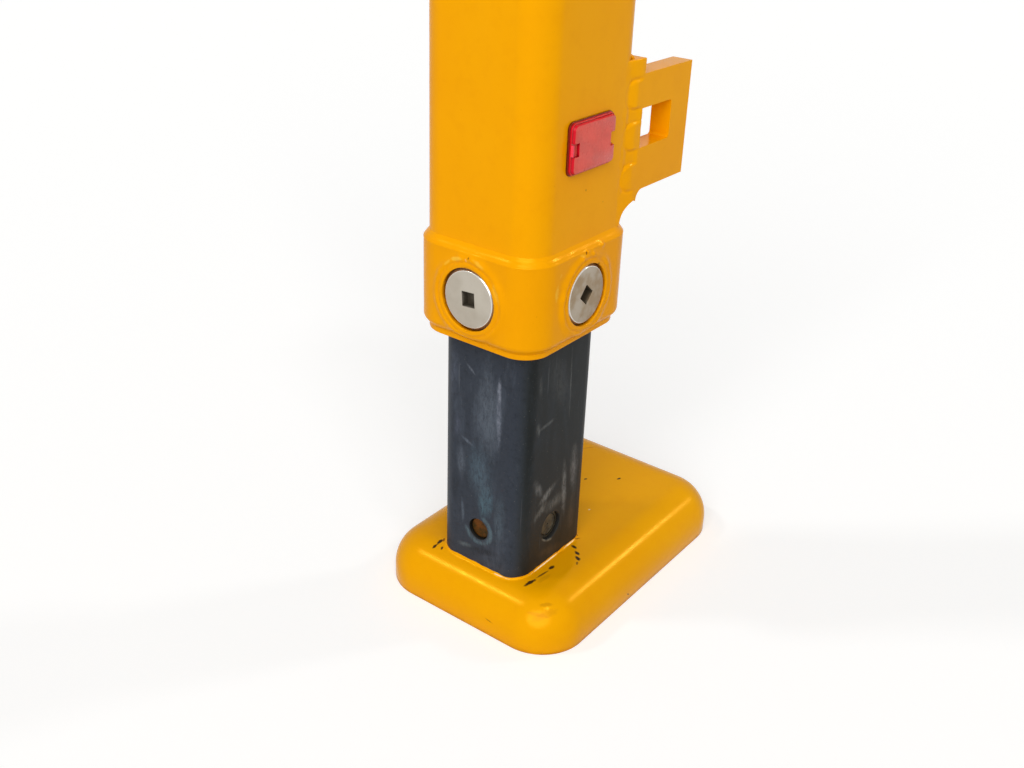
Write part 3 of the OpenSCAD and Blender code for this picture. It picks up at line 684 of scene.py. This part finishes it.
def outer_leg():
    """The square tube, open at both ends, with its plug bores and the upper pin's bore."""
    ob = hollow_bar("outer_leg_shell", OUTER_W, OUTER_D, OUTER_R, OUTER_WALL, Z_LOW, Z_TOP)
    bores = [side_tool(PLUG_R, turn, Z_LOW + PLUG_UP, 120, 96) for turn, *_ in SIDES.values()]
    carve(ob, *bores, cross_tool(UPPER_BOSS_R + FIT_GAP, RAM_X, Z_UPPER_PIN))
    soften(ob, 1.2, 3)
    dress(ob, "yellow_paint", "casing", "outer_leg")


# How far the collar stands off the leg, by height above the leg's lower end
SKIN = [(6, -0.4), (7.2, 0.3), (8.2, 1.5), (11.6, 4.6), (12.4, 5.3), (14.4, 6.2), (16, 6.5),
        (104.6, 6.5), (106.2, 6.7), (107.2, 6.5), (108, 5.6), (109.6, 4.6), (112.6, 2),
        (113.8, 1.4), (114.8, 0.7), (115.6, 0.1), (117, -0.4)]
SKIN_LOW, SKIN_FINE_FROM, SKIN_HIGH, SKIN_DEEP = 6, 102, 117, -0.4

# Half widths between which the skin's square grid turns into rings about a plug, and the
# radius at the bore's rim
SQUARE, HOLE, RIM = 45, 35, 0.8

# The ring of sheet drawn out round a bore: its radius, height and width, and its inner edge
ROLL_R, ROLL_HIGH, ROLL_WIDE, RING_EDGE = 44.6, 3.1, 4.1, 41.2

# Middles of the two welds' ripples above the leg's lower end
WELD_HIGH, WELD_LOW, WELD_HALF = 110.5, 12.5, 4

# Lumps of weld on the rings: side, place along the side and above the plug, size and height
LUMPS = [
    (2, -12, 45, 6, 1.3), (2, 4, 47, 3.4, 1.1), (2, 16, 44, 6, 1), (2, 38, 24, 6, 0.9),
    (3, -42, 24, 7, 1.5), (3, -46, 8, 7, 1.2), (3, -12, 45, 4, 1.3), (3, 8, 46, 3.6, 1.3),
    (3, 26, 50, 4.5, 1.5), (3, -2, 50, 2.6, 1.5), (2, -40, 22, 6, 0.8), (0, 20, 44, 6, 1.2),
    (1, -18, 44, 6, 1.2),
]


def skin_table():
    """The skin's profile with its corners melted, as paint over a weld has them."""
    pitch, blur, half = 0.25, 0.38, 8
    fine = np.arange(SKIN_LOW - 4, SKIN_HIGH + 4, pitch)
    raw = np.interp(fine, *zip(*SKIN))
    kernel = np.exp(-0.5 * (np.arange(-half, half + 1) * pitch / blur) ** 2)
    melted = np.convolve(np.pad(raw, half, mode="edge"), kernel / kernel.sum(), mode="valid")
    return fine, melted


SKIN_FINE = skin_table()


def smooth(x):
    """0 up to 0, 1 from 1 on, and a soft step between them."""
    x = min(1, max(0, x))
    return x * x * (3 - 2 * x)


def skin_offset(h, side, du, along):
    """How far the skin stands off the leg, by height, place on the side and place round it."""
    v = h - PLUG_UP
    rho, turn = math.hypot(du, v), math.atan2(v, du)
    place = Vector((2.4 * math.cos(turn), 2.4 * math.sin(turn), side * 5))
    uneven = 0.85 + 0.5 * noise.noise(place)
    ring = RING_PROUD * smooth((RING_EDGE - rho) / 2)
    roll = ROLL_HIGH * uneven * math.exp(-((rho - ROLL_R) / ROLL_WIDE) ** 2)
    ring += roll * (1 + 0.02 * math.sin(turn * 84))
    for k, u0, v0, size, high in LUMPS:
        if k == side:
            ring += high * math.exp(-((du - u0) ** 2 + (v - v0) ** 2) / (0.5 * size * size))
    weld = max(0, 1 - abs(h - WELD_HIGH) / WELD_HALF)
    weld += 0.7 * max(0, 1 - abs(h - WELD_LOW) / WELD_HALF)
    ripple = weld * (0.045 * math.sin(2 * math.pi * along / 3.4 + 0.8 * math.sin(along / 9)))
    lump = 0.34 * noise.noise(Vector((along * 0.06, h * 0.09, 3.7))) * (0.3 + weld)
    edge = max(0, min(1, (h - SKIN_LOW) / 3, (SKIN_HIGH - h) / 3))
    return float(np.interp(h, *SKIN_FINE)) + ring + (ripple + lump) * edge


def collar_grid(columns, heights):
    """The skin's points outside the bores, their numbers by row and column, and the bores' rims."""
    run = [0]
    for a, b in zip(columns, columns[1:]):
        run.append(run[-1] + math.hypot(a[0] - b[0], a[1] - b[1]))
    whole = run[-1] + math.dist(columns[-1][:2], columns[0][:2])
    middles = [run[i] for i, c in enumerate(columns) if c[4] is not None and abs(c[4]) < 0.1]

    def past(along, middle):
        return (along - middle + whole / 2) % whole - whole / 2

    index, points, rims = {}, [], {}
    for j, h in enumerate(heights):
        for i, (x, y, nx, ny, u) in enumerate(columns):
            v, along = h - PLUG_UP, run[i]
            side = min((abs(past(along, m)), k) for k, m in enumerate(middles))[1]
            du = past(along, middles[side])
            far = math.inf if u is None else max(abs(u), abs(v))
            if far < HOLE - 0.01:
                continue
            if far <= SQUARE:
                share = (far - HOLE) / (SQUARE - HOLE)
                scale = (1 - share) * (PLUG_R + RIM) / math.hypot(u, v) + share
                move = u * scale - u
                v *= scale
                x, y = x - ny * move, y + nx * move
                along += move
                du = u * scale
            t = skin_offset(PLUG_UP + v, side, du, along)
            index[j, i] = len(points)
            points.append((x + nx * t, y + ny * t, Z_LOW + PLUG_UP + v))
            if abs(far - HOLE) < 0.01:
                rims.setdefault((nx, ny), []).append((math.atan2(v, u), j, i, t))
    return points, index, rims


def roll_rim(points, faces, index, side, rim):
    """Rolls a bore's rim in and back to the leg; gives its last points by row and column."""
    nx, ny = side
    rim = sorted(rim)
    reach = OUTER_W / 2 if abs(nx) > 0.5 else OUTER_D / 2
    places = [(j, i) for _, j, i, _ in rim]
    before = [index[place] for place in places]
    for turn in (30, 60, 90, None):
        after = []
        for angle, _, _, t in rim:
            a = math.radians(turn or 90)
            rho = PLUG_R + RIM * (1 - math.sin(a))
            off = reach + (SKIN_DEEP if turn is None else t - RIM * (1 - math.cos(a)))
            u, v = rho * math.cos(angle), rho * math.sin(angle)
            after.append(len(points))
            points.append((nx * off - ny * u, ny * off + nx * u, Z_LOW + PLUG_UP + v))
        for k in range(len(rim)):
            n = (k + 1) % len(rim)
            faces.append((before[k], before[n], after[n], after[k]))
        before = after
    return dict(zip(places, before))


def collar_back(columns, heights, index, back):
    """Faces that close the skin behind, against the leg, round the four bores."""
    cols, last = len(columns), len(heights) - 1
    low, high = heights.index(int(PLUG_UP) - HOLE), heights.index(int(PLUG_UP) + HOLE)
    in_bore = [c[4] is not None and abs(c[4]) <= HOLE + 0.01 for c in columns]
    faces = []
    for i in range(cols):
        n = (i + 1) % cols
        if in_bore[i] and in_bore[n]:
            faces.append((index[0, i], index[0, n], back[low, n], back[low, i]))
            faces.append((index[last, i], index[last, n], back[high, n], back[high, i]))
        elif in_bore[i] or in_bore[n]:
            k, rest = (i, n) if in_bore[i] else (n, i)
            column = [back[j, k] for j in range(low, high + 1)]
            faces.append([index[0, rest], index[0, k], *column, index[last, k], index[last, rest]])
        else:
            faces.append((index[0, i], index[0, n], index[last, n], index[last, i]))
    return faces


def collar():
    """The collar with its welds as one painted skin, drawn out round each plug."""
    columns = outline(OUTER_W, OUTER_D, OUTER_R, 40, 1)
    heights = list(range(SKIN_LOW, SKIN_FINE_FROM))
    heights += [SKIN_FINE_FROM + 0.5 * k for k in range(2 * (SKIN_HIGH - SKIN_FINE_FROM) + 1)]
    points, index, rims = collar_grid(columns, heights)
    cols, faces, back = len(columns), [], {}
    for j in range(len(heights) - 1):
        for i in range(cols):
            n = (i + 1) % cols
            corners = [index.get(c) for c in ((j, i), (j, n), (j + 1, n), (j + 1, i))]
            if None not in corners:
                faces.append(corners)
    for side, rim in rims.items():
        back.update(roll_rim(points, faces, index, side, rim))
    faces += collar_back(columns, heights, index, back)
    dress(solid("collar_skin", points, faces), "yellow_paint", "casing", "collar", "collar_welds")


# Half section of a plug from its back to its face: radius and height
PLUG_SECTION = [(34.7, -14), (35.2, -13.5), (35.2, -3.9), (34.9, -3.4), (32.2, -0.45),
                (31.9, -0.15), (31.3, 0)]


def plug(name, turn, reach, drive_turn):
    """A threaded plug with a square drive in its chamfered face."""
    face = reach + COLLAR_T + RING_PROUD - PLUG_SINK
    matrix = side_matrix(turn, Z_LOW + PLUG_UP) @ Matrix.Translation((0, 0, face))
    ob = lathe("plug_screw_" + name, PLUG_SECTION, matrix, 128)
    drive = matrix @ Matrix.Rotation(math.radians(drive_turn), 4, "Z")
    half = DRIVE_AF / 2
    corners = ((-half, -half), (half, -half), (half, half), (-half, half))
    square = [[tuple(drive @ Vector((x, y, z))) for x, y in corners] for z in (-DRIVE_DEPTH, 3)]
    carve(ob, solid("tool", *stack(square)))
    soften(ob, 0.35, 2, 50)
    dress(ob, "zinc_plate", "casing", "plug_" + name)


# Rail plates, about the leg's axis: u inboard, v above the rail's middle

RAIL_Y0, RAIL_Y1 = -82.5, -57.5
RAIL_LOW, RAIL_HIGH, TAB_TOP, TAIL_END = -64, 64, 80, -99
EDGE = 92
LOBE_U, LOBE_R, LOBE_UP, LOBE_PITCH = 78, 16, 17.5, 45
WINDOW_FROM, WINDOW_W, WINDOW_H, WINDOW_R = 88, 64, 43, 4
WINDOW_MID = RAIL_LOW + 48 + WINDOW_H / 2
TAIL_FILLET, SCOOP_R = 12, 25

# How far each lobe's level lies off the others', from the lowest lobe up
LOBE_LEVELS = (-0.5, 0.4, 0.7)


def leg_surface(u):
    """Place and outward normal on the outer leg's rear inboard corner, by distance inboard."""
    c = OUTER_W / 2 - OUTER_R
    s = min(1, max(0, (u - c) / OUTER_R))
    depth = math.sqrt(1 - s * s)
    return -(OUTER_D / 2 - OUTER_R) - OUTER_R * depth, Vector((s, -depth, 0))


def lobe_inside(u, v):
    """How far a point lies inside the nearest lobe, and which lobe that is."""
    middles = [RAIL_LOW + LOBE_UP + LOBE_PITCH * k for k in range(3)]
    return max((LOBE_R - math.hypot(min(u - LOBE_U, 0), v - m), k) for k, m in enumerate(middles))


def rail_face(u, v):
    """The welded and painted face between the leg's rear corner and the rail plate."""
    y, start = leg_surface(u)[0], leg_surface(60)[0]
    if u >= 60:
        y = start + (RAIL_Y0 - start) * smooth((u - 60) / 29)
    y += 0.15 - 0.36 * smooth((u - 57) / 4) * smooth((v - TAIL_END) / 8)
    if abs(v) < RAIL_HIGH:
        y += 1.3 * smooth((u - 64) / 7) * smooth((90 - u) / 9) * smooth((RAIL_HIGH - abs(v)) / 8)
    inside, k = lobe_inside(u, v)
    level = -78.7 - 3.85 * smooth((u - 61) / 20) + LOBE_LEVELS[k] * (1 - smooth((u - 64) / 18))
    y += 0.5 * math.exp(-(inside / 1.6) ** 2)
    y += (level - y) * smooth(inside / 3.6)
    y += 0.3 * noise.noise(Vector((u * 0.11, v * 0.11, 8)))
    free = TAB_TOP - v
    if v > RAIL_HIGH or abs(v - WINDOW_MID) < WINDOW_H / 2 or v < RAIL_LOW - TAIL_FILLET:
        free = min(free, EDGE - u)
    rim = 1.5
    if free < rim:
        y += rim - math.sqrt(max(0, rim * rim - (rim - free) ** 2))
    return min(y, RAIL_Y1 - 0.5)


def rail_lobes(name, z):
    """The face above as a closed form, cut by the scoop under the rail."""
    us = [57 + i for i in range(34)] + [90.7, 91.2, 91.6, 91.85, EDGE]
    vs = [TAIL_END + i for i in range(178)] + [79.2, 79.6, 79.85, TAB_TOP]
    rows = []
    for v in vs:
        front = [(u, max(RAIL_Y0 - 0.1, rail_face(u, v)), z + v) for u in us]
        rear = [(u, min(RAIL_Y1, leg_surface(u)[0] + 3), z + v) for u in us[::-1]]
        rows.append(front + rear)
    ob = solid(name + "_lobes", *stack(rows))
    scoop = [(SCOOP_R, -100), (SCOOP_R, -40)]
    carve(ob, lathe("tool", scoop, along_y(EDGE, z + TAIL_END, 1), 96))
    mark_sharp(ob, 50)
    dress(ob, "yellow_paint", "casing")


def rail(name, z):
    """A stub of the machine's rail, with its window and the lobes that meet the leg."""
    fillet = arc(EDGE + TAIL_FILLET, RAIL_LOW - TAIL_FILLET, TAIL_FILLET, 180, 90, 10)
    shape = [(89.5, RAIL_HIGH), (89.5, RAIL_LOW - 11), *fillet, (-AXIS_X, RAIL_LOW),
             (-AXIS_X, RAIL_HIGH)]
    ob = prism(name + "_plate", shape, RAIL_Y0, RAIL_Y1, z)
    window = [(x + WINDOW_FROM + WINDOW_W / 2, y + WINDOW_MID)
              for x, y, *_ in outline(WINDOW_W, WINDOW_H, WINDOW_R, 8)]
    carve(ob, prism("tool", window, RAIL_Y0 - 5, RAIL_Y1 + 5, z))
    soften(ob, 1.6, 3)
    dress(ob, "yellow_paint", "casing", name)
    rail_lobes(name, z)


def resample(a, b, pitch):
    """Points a pitch apart from one end of a line to the other."""
    count = max(1, round(math.dist(a, b) / pitch))
    return [a] + [tuple(np.array(a) + (np.array(b) - np.array(a)) * i / count)
                  for i in range(1, count + 1)]


# The flag's screw: its distance below the upper pin, and the radius of the boss under it
FLAG_DROP, FLAG_BOSS_R = 46, 14


def casing_welds():
    """Welds behind and on top of the rails, and round the bosses near the top."""
    heap = Heap()
    deep = abs(RAIL_Y1) - (OUTER_D / 2 - OUTER_R)
    x = OUTER_W / 2 - OUTER_R + math.sqrt(OUTER_R ** 2 - deep ** 2)
    top = [(u, *leg_surface(u)) for u in np.linspace(74, OUTER_W / 2 - 0.05, 40)]
    for z in (0, RAIL_PITCH):
        line = resample((x, RAIL_Y1, z + 78), (x, RAIL_Y1, z + TAIL_END + 22), 1.6)
        heap.bead(line, [(0, 1, 0)] * len(line), [(1, 0, 0)] * len(line), 5, closed=False)
        heap.bead([(u, y, z + 79.6) for u, y, _ in top], [out for *_, out in top],
                  [(0, 0, 1)] * len(top), 4.2, closed=False)
    for side in (-1, 1):
        place = (RAM_X, side * OUTER_D / 2, Z_UPPER_PIN)
        heap.round_bead(place, UPPER_BOSS_R, (0, side, 0), 5)
    place = (RAM_X, -OUTER_D / 2, Z_UPPER_PIN - FLAG_DROP)
    heap.round_bead(place, FLAG_BOSS_R, (0, -1, 0), 4)
    dress(heap.make("casing_weld_beads"), "yellow_paint", "casing")


# Inner leg and foot

# How far the leg runs below the foot's flat top, and the leg length of the seam between them
LEG_SUNK, SEAM = 4, 2.8


def inner_leg():
    """The sliding tube with its access hole, the lower pin's bore and the pads' peg holes."""
    ob = hollow_bar("inner_leg_shell", INNER_W, INNER_D, INNER_R, INNER_WALL,
                    Z_FOOT - LEG_SUNK, Z_INNER_TOP)
    access = side_tool(ACCESS_R, 180, Z_LOWER_PIN, 90, 64)
    pegs = [side_tool(PEG_R + FIT_GAP, turn, Z_INNER_TOP - PEG_DOWN, 90, 32)
            for turn, *_ in SIDES.values()]
    carve(ob, cross_tool(LOWER_PIN_R + FIT_GAP, RAM_X, Z_LOWER_PIN), access, *pegs)
    soften(ob, 1, 3)
    dress(ob, "leg_black", "leg", "inner_leg")


def foot_ring(back, z):
    """The foot's outline at a height, drawn in all round."""
    length, middle = FOOT_OUT + FOOT_IN, (FOOT_IN - FOOT_OUT) / 2
    return rect_row(length - 2 * back, FOOT_W - 2 * back, FOOT_R - back, z, 20, (middle, 0))


def foot_rows(inset):
    """Rings of the foot's skin, drawn in by the inset, from the ground to the flat top."""
    radius, steps = FOOT_EDGE - inset, 14
    rows = [foot_ring(inset, Z_FLOOR + 0.02)]
    for i in range(steps + 1):
        a = math.pi / 2 * i / steps
        up = Z_FOOT - FOOT_EDGE + radius * math.sin(a)
        rows.append(foot_ring(inset + radius * (1 - math.cos(a)), up))
    return rows + [foot_ring(inset + (radius + 2.5), Z_FOOT - inset)]


def foot_shell():
    """The pressed pan, open below, with a small roll on both sides of its lower edge."""
    rolls = ((FOOT_WALL - 1, 0), (1, 0), (0.3, 0.3), (0, 1))
    low = [foot_ring(back, Z_FLOOR + up) for back, up in rolls]
    ob = solid("foot_shell", *stack(foot_rows(FOOT_WALL)[:0:-1] + low + foot_rows(0)[1:]))
    dress(ob, "yellow_paint", "leg", "foot_pan", finish=FOOT_PAINT_SHADED)


def foot_top(x):
    """Height of the foot's top beside the leg, where its outboard edge starts to roll down."""
    over = max(0, FOOT_EDGE - (x + FOOT_OUT))
    return Z_FOOT - FOOT_EDGE + math.sqrt(FOOT_EDGE ** 2 - over ** 2)


def leg_welds():
    """The painted seam between the leg and the foot's top."""
    rows = []
    for x, y, nx, ny, _ in outline(INNER_W, INNER_D, INNER_R, 20, 1.5):
        leg = SEAM * (1 + 0.35 * noise.noise(Vector((x * 0.11, y * 0.11, 4))))
        rows.append([(x + nx * s * leg, y + ny * s * leg, foot_top(x + nx * s * leg) + t * leg)
                     for s, t in HOLLOW])
    dress(solid("foot_seam_bead", *stack(rows, cap=False)), "yellow_paint", "leg",
          finish=FOOT_PAINT_SHADED)


# Reflector

# Rings of the backing and of the lens: width, height, corner radius and distance off the leg
BACKING = [(79, 55, 7, 0.3), (79, 55, 7, 1.7), (78.4, 54.4, 6.7, 2.2)]
LENS = [(77, 53, 7, 2.6), (77, 53, 7, 4.2), (76.4, 52.4, 6.7, 4.6), (75.4, 51.4, 6.2, 4.65),
        (74.8, 50.8, 5.9, 4.2), (74.4, 50.4, 5.7, 4.25), (72.4, 48.6, 4.8, 7),
        (71.8, 48, 4.5, 7.4), (71, 47.2, 4.1, 7.55)]


def reflector():
    """The backing, the bevelled lens with its two notches, and the clip in one of them, painted bright as a
    glint.
    """

    def plate(name, rings):
        return solid(name, *stack([
            [(REFLECTOR_X + x, -OUTER_D / 2 - out, REFLECTOR_Z + y)
             for x, y, *_ in outline(w, d, r, 10)] for w, d, r, out in rings]))

    def block(x0, x1, half, low, high):
        x0, x1, z0, z1 = REFLECTOR_X + x0, REFLECTOR_X + x1, REFLECTOR_Z - half, REFLECTOR_Z + half
        shape = [(x0, z0), (x1, z0), (x1, z1), (x0, z1)]
        return prism("tool", shape, -OUTER_D / 2 - low, -OUTER_D / 2 - high)

    base = plate("reflector_backing", BACKING)
    carve(base, block(33, 45, 7, -1, 12))
    dress(base, "reflector_red", "casing", "reflector_base", finish=REFLECTOR_RIM)
    lens = plate("reflector_face", LENS)
    carve(lens, block(-45, -28, 7, 4.3, 12), block(29, 45, 7.4, 2, 12))
    mark_sharp(lens, 25)
    dress(lens, "reflector_red", "casing", "reflector_lens")
    clip = block(-38.4, -36.4, 6, 3, 7.2)
    clip.name = "reflector_clip_glint"
    soften(clip, 0.4, 2)
    dress(clip, "reflector_red", "casing", finish=REFLECTOR_CLIP_GLINT)


# Pins and small screws

# The flag plate's face, half of the upper pin's length, and the foot bolt with its 36 mm head
FLAG_FACE, UPPER_PIN_HALF = OUTER_D / 2 + 21.3, 92
BOLT_R, BOLT_HEAD_R, BOLT_HEAD_H = 12, 20.784, 15

# Half sections of turned pieces: radius and place along the axis
ACCESS_PLUG = [(13.6, -12), (13.6, -4.6), (13, -4), (11.4, -4.1), (8, -4.8), (3, -5.2)]
LOWER_PIN_END = [(1.2, 6.2), (1.2, 5.4), (2, 4.8), (13.2, 4.6), (14.6, 5.4), (14.6, 7),
                 (16.2, 7), (18, 9)]
UPPER_PIN_END = [(3, 7), (3, 0.8), (4, 0), (UPPER_PIN_R - 2.4, 0), (UPPER_PIN_R, 2.4)]
WASHER = [(6.6, 0.05), (12, 0.05), (12.4, 0.4), (12.4, 2.1), (12, 2.5), (6.6, 2.5)]
NIPPLE = [(4.2, 0.05), (4.2, 3.6), (2.6, 4.2), (2.2, 7), (3.1, 8.2), (3.1, 9.4), (1.6, 11)]
BOLT_SHANK = [(BOLT_R - 1.5, -20), (BOLT_R - 0.1, -18.4), (BOLT_R - 0.1, 0.2)]


def turned(name, section, place, steps, slot, body, *replaced, finish=None, crisp=30):
    """A turned piece whose edges stay crisp."""
    ob = lathe(name, section, place, steps)
    mark_sharp(ob, crisp)
    dress(ob, slot, body, *replaced, finish=finish)


def both_ends(end, half):
    """A pin's section from the shape of its end, which is given from its face inwards."""
    section = [(r, z - half) for r, z in end]
    return section + [(r, -z) for r, z in section[::-1]]


def hexagon(name, r, low, high, place, body, *replaced):
    """A screw's head: six flats whose corners are turned away at the top."""
    ob = lathe(name, [(r, low), (r, high)], place, 6)
    cone = [(r * 1.02, low - 1), (r * 1.02, high - r * 0.09), (r * 0.84, high + 0.01)]
    carve(ob, lathe("tool", cone, place, 96), operation="INTERSECT")
    soften(ob, 0.3, 2)
    dress(ob, "zinc_plate", body, *replaced, finish=SCREW_ZINC)


def small_parts():
    """What shows in the access hole, the pins, the flag's screw, a nipple and the foot's bolt."""
    place = side_matrix(180, Z_LOWER_PIN) @ Matrix.Translation((0, 0, INNER_W / 2))
    dress(lathe("access_plug", ACCESS_PLUG, place, 64), "pin_steel", "leg", finish=GREASY)
    turned("lower_pin_turned", both_ends(LOWER_PIN_END, INNER_D / 2), along_y(RAM_X, Z_LOWER_PIN),
           96, "pin_steel", "leg", "lower_pin")
    turned("upper_pin_turned", both_ends(UPPER_PIN_END, UPPER_PIN_HALF),
           along_y(RAM_X, Z_UPPER_PIN), 96, "pin_steel", "casing", "upper_pin")
    place = Matrix.Translation((0, -FLAG_FACE, 0)) @ along_y(RAM_X, Z_UPPER_PIN - FLAG_DROP)
    turned("flag_washer", WASHER, place, 64, "zinc_plate", "casing", finish=SCREW_ZINC)
    hexagon("flag_screw", 10.97, 2.6, 9.8, place, "casing")
    out = OUTER_D / 2 + UPPER_BOSS_PROUD
    place = along_y(RAM_X, Z_UPPER_PIN, 1) @ Matrix.Translation((0, 23.5, out))
    turned("grease_nipple_upper", NIPPLE, place, 24, "zinc_plate", "casing", finish=SCREW_ZINC,
           crisp=40)
    seat = Matrix.Translation((0, 0, Z_FOOT - FOOT_WALL - FIT_GAP))
    place = seat @ Matrix.Rotation(math.pi, 4, "X")
    hexagon("foot_bolt_head", BOLT_HEAD_R, 0, BOLT_HEAD_H, place, "leg", "foot_bolt")
    turned("foot_bolt_shank", BOLT_SHANK, place, 64, "zinc_plate", "leg", finish=SCREW_ZINC)


# Build

outer_leg()
collar()
for side_name, side in SIDES.items():
    plug(side_name, *side)
rail("rail_lower", 0)
rail("rail_upper", RAIL_PITCH)
casing_welds()
inner_leg()
foot_shell()
leg_welds()
reflector()
small_parts()

NODE_FINISH = [
    (FINISHES["yellow_paint"], ["upper_pin_bosses", "pin_flag", "foot_ribs"]),
    (FINISHES["leg_black"], ["leg_base_plate", "lower_pin_bosses"]),
    (FINISHES["black_paint"], ["ram_barrel", "ram_head", "ram_gland", "port_block",
                               "transfer_tube"]),
    (GREASY, ["rod_eye"]),
    (FINISHES["pin_steel"], ["lower_pin_rings"]),
    (FINISHES["rod_chrome"], ["ram_rod"]),
    (FINISHES["wear_plastic"], ["lower_wear_pads", "upper_wear_pads"]),
]
for node_finish, names in NODE_FINISH:
    for name in names:
        nodes[name].data.materials.clear()
        nodes[name].data.materials.append(node_finish.material)


# Floor, light and camera

# Half the floor's width in metres, its own glow where it is seen, and the world's light
FLOOR_HALF, FLOOR_GLOW, WORLD_LIGHT = 30, 0.44, 0.24


def seen_ray(tree):
    """1 for what is seen, mirrored or looked at through glass, and 0 for what only lights."""
    rays = tree.nodes.new("ShaderNodeLightPath").outputs
    share = rays["Is Camera Ray"]
    for kind in ("Is Glossy Ray", "Is Transmission Ray"):
        either = tree.nodes.new("ShaderNodeMath")
        either.operation = "MAXIMUM"
        tree.links.new(share, either.inputs[0])
        tree.links.new(rays[kind], either.inputs[1])
        share = either.outputs[0]
    return share


def floor():
    """A pale floor at the foot's underside, which keeps the shadow."""
    mesh = bpy.data.meshes.new("floor")
    corners = [(-1, -1), (1, -1), (1, 1), (-1, 1)]
    points = [(x * FLOOR_HALF, y * FLOOR_HALF, Z_FLOOR * MM) for x, y in corners]
    mesh.from_pydata(points, [], [(0, 1, 2, 3)])
    ob = add_object("floor", mesh)
    f = Finish("pale_floor", {
        "Base Color": (0.72, 0.72, 0.71, 1), "Roughness": 0.9, "Specular IOR Level": 0.1,
        "Emission Color": (1, 1, 1, 1)})
    f.set(Emission_Strength=f.times(seen_ray(f.tree), FLOOR_GLOW))
    mesh.materials.append(f.material)


def world():
    """Soft white light all round, which looks white where it is seen or mirrored."""
    made = bpy.data.worlds.new("studio")
    bpy.context.scene.world = made
    made.use_nodes = True
    tree = made.node_tree
    back = tree.nodes["Background"]
    level = tree.nodes.new("ShaderNodeMapRange")
    level.inputs["To Min"].default_value = WORLD_LIGHT
    level.inputs["To Max"].default_value = 1
    tree.links.new(seen_ray(tree), level.inputs["Value"])
    tree.links.new(level.outputs[0], back.inputs["Strength"])
    back.inputs["Color"].default_value = (1, 1, 1, 1)


def lamp(name, towards, strength, spread):
    """A broad sun whose light comes from that direction."""
    data = bpy.data.lights.new(name, "SUN")
    data.energy, data.angle = strength, math.radians(spread)
    ob = add_object(name, data)
    ob.rotation_mode = "QUATERNION"
    ob.rotation_quaternion = Vector(towards).to_track_quat("Z", "Y")


def camera():
    """The photograph's viewpoint and lens."""
    yaw, pitch, roll = (math.radians(a) for a in (CAMERA_YAW, CAMERA_PITCH, CAMERA_ROLL))
    look = Vector((math.sin(yaw) * math.cos(pitch), math.cos(yaw) * math.cos(pitch),
                   -math.sin(pitch)))
    right = Vector((math.cos(yaw), -math.sin(yaw), 0))
    down = look.cross(right)
    across = math.cos(roll) * right + math.sin(roll) * down
    below = -math.sin(roll) * right + math.cos(roll) * down
    data = bpy.data.cameras.new("camera")
    data.lens, data.sensor_width, data.sensor_fit = CAMERA_LENS, 36, "HORIZONTAL"
    data.clip_start, data.clip_end = 0.05, 100
    ob = add_object("camera", data)
    turn = Matrix((across, -below, -look)).transposed()
    ob.matrix_world = Matrix.Translation(CAMERA_AT) @ turn.to_4x4()
    bpy.context.scene.camera = ob


floor()
world()
lamp("key", (-0.62, -0.34, 0.45), 2.05, 50)
lamp("sky_forward", (-0.43, 0.50, 0.75), 0.34, 6)
lamp("sky_inboard", (0.70, -0.46, 0.54), 0.28, 6)
lamp("sky_over", (-0.23, -0.41, 0.88), 0.16, 6)
camera()
bpy.context.scene.view_settings.view_transform = "Standard"
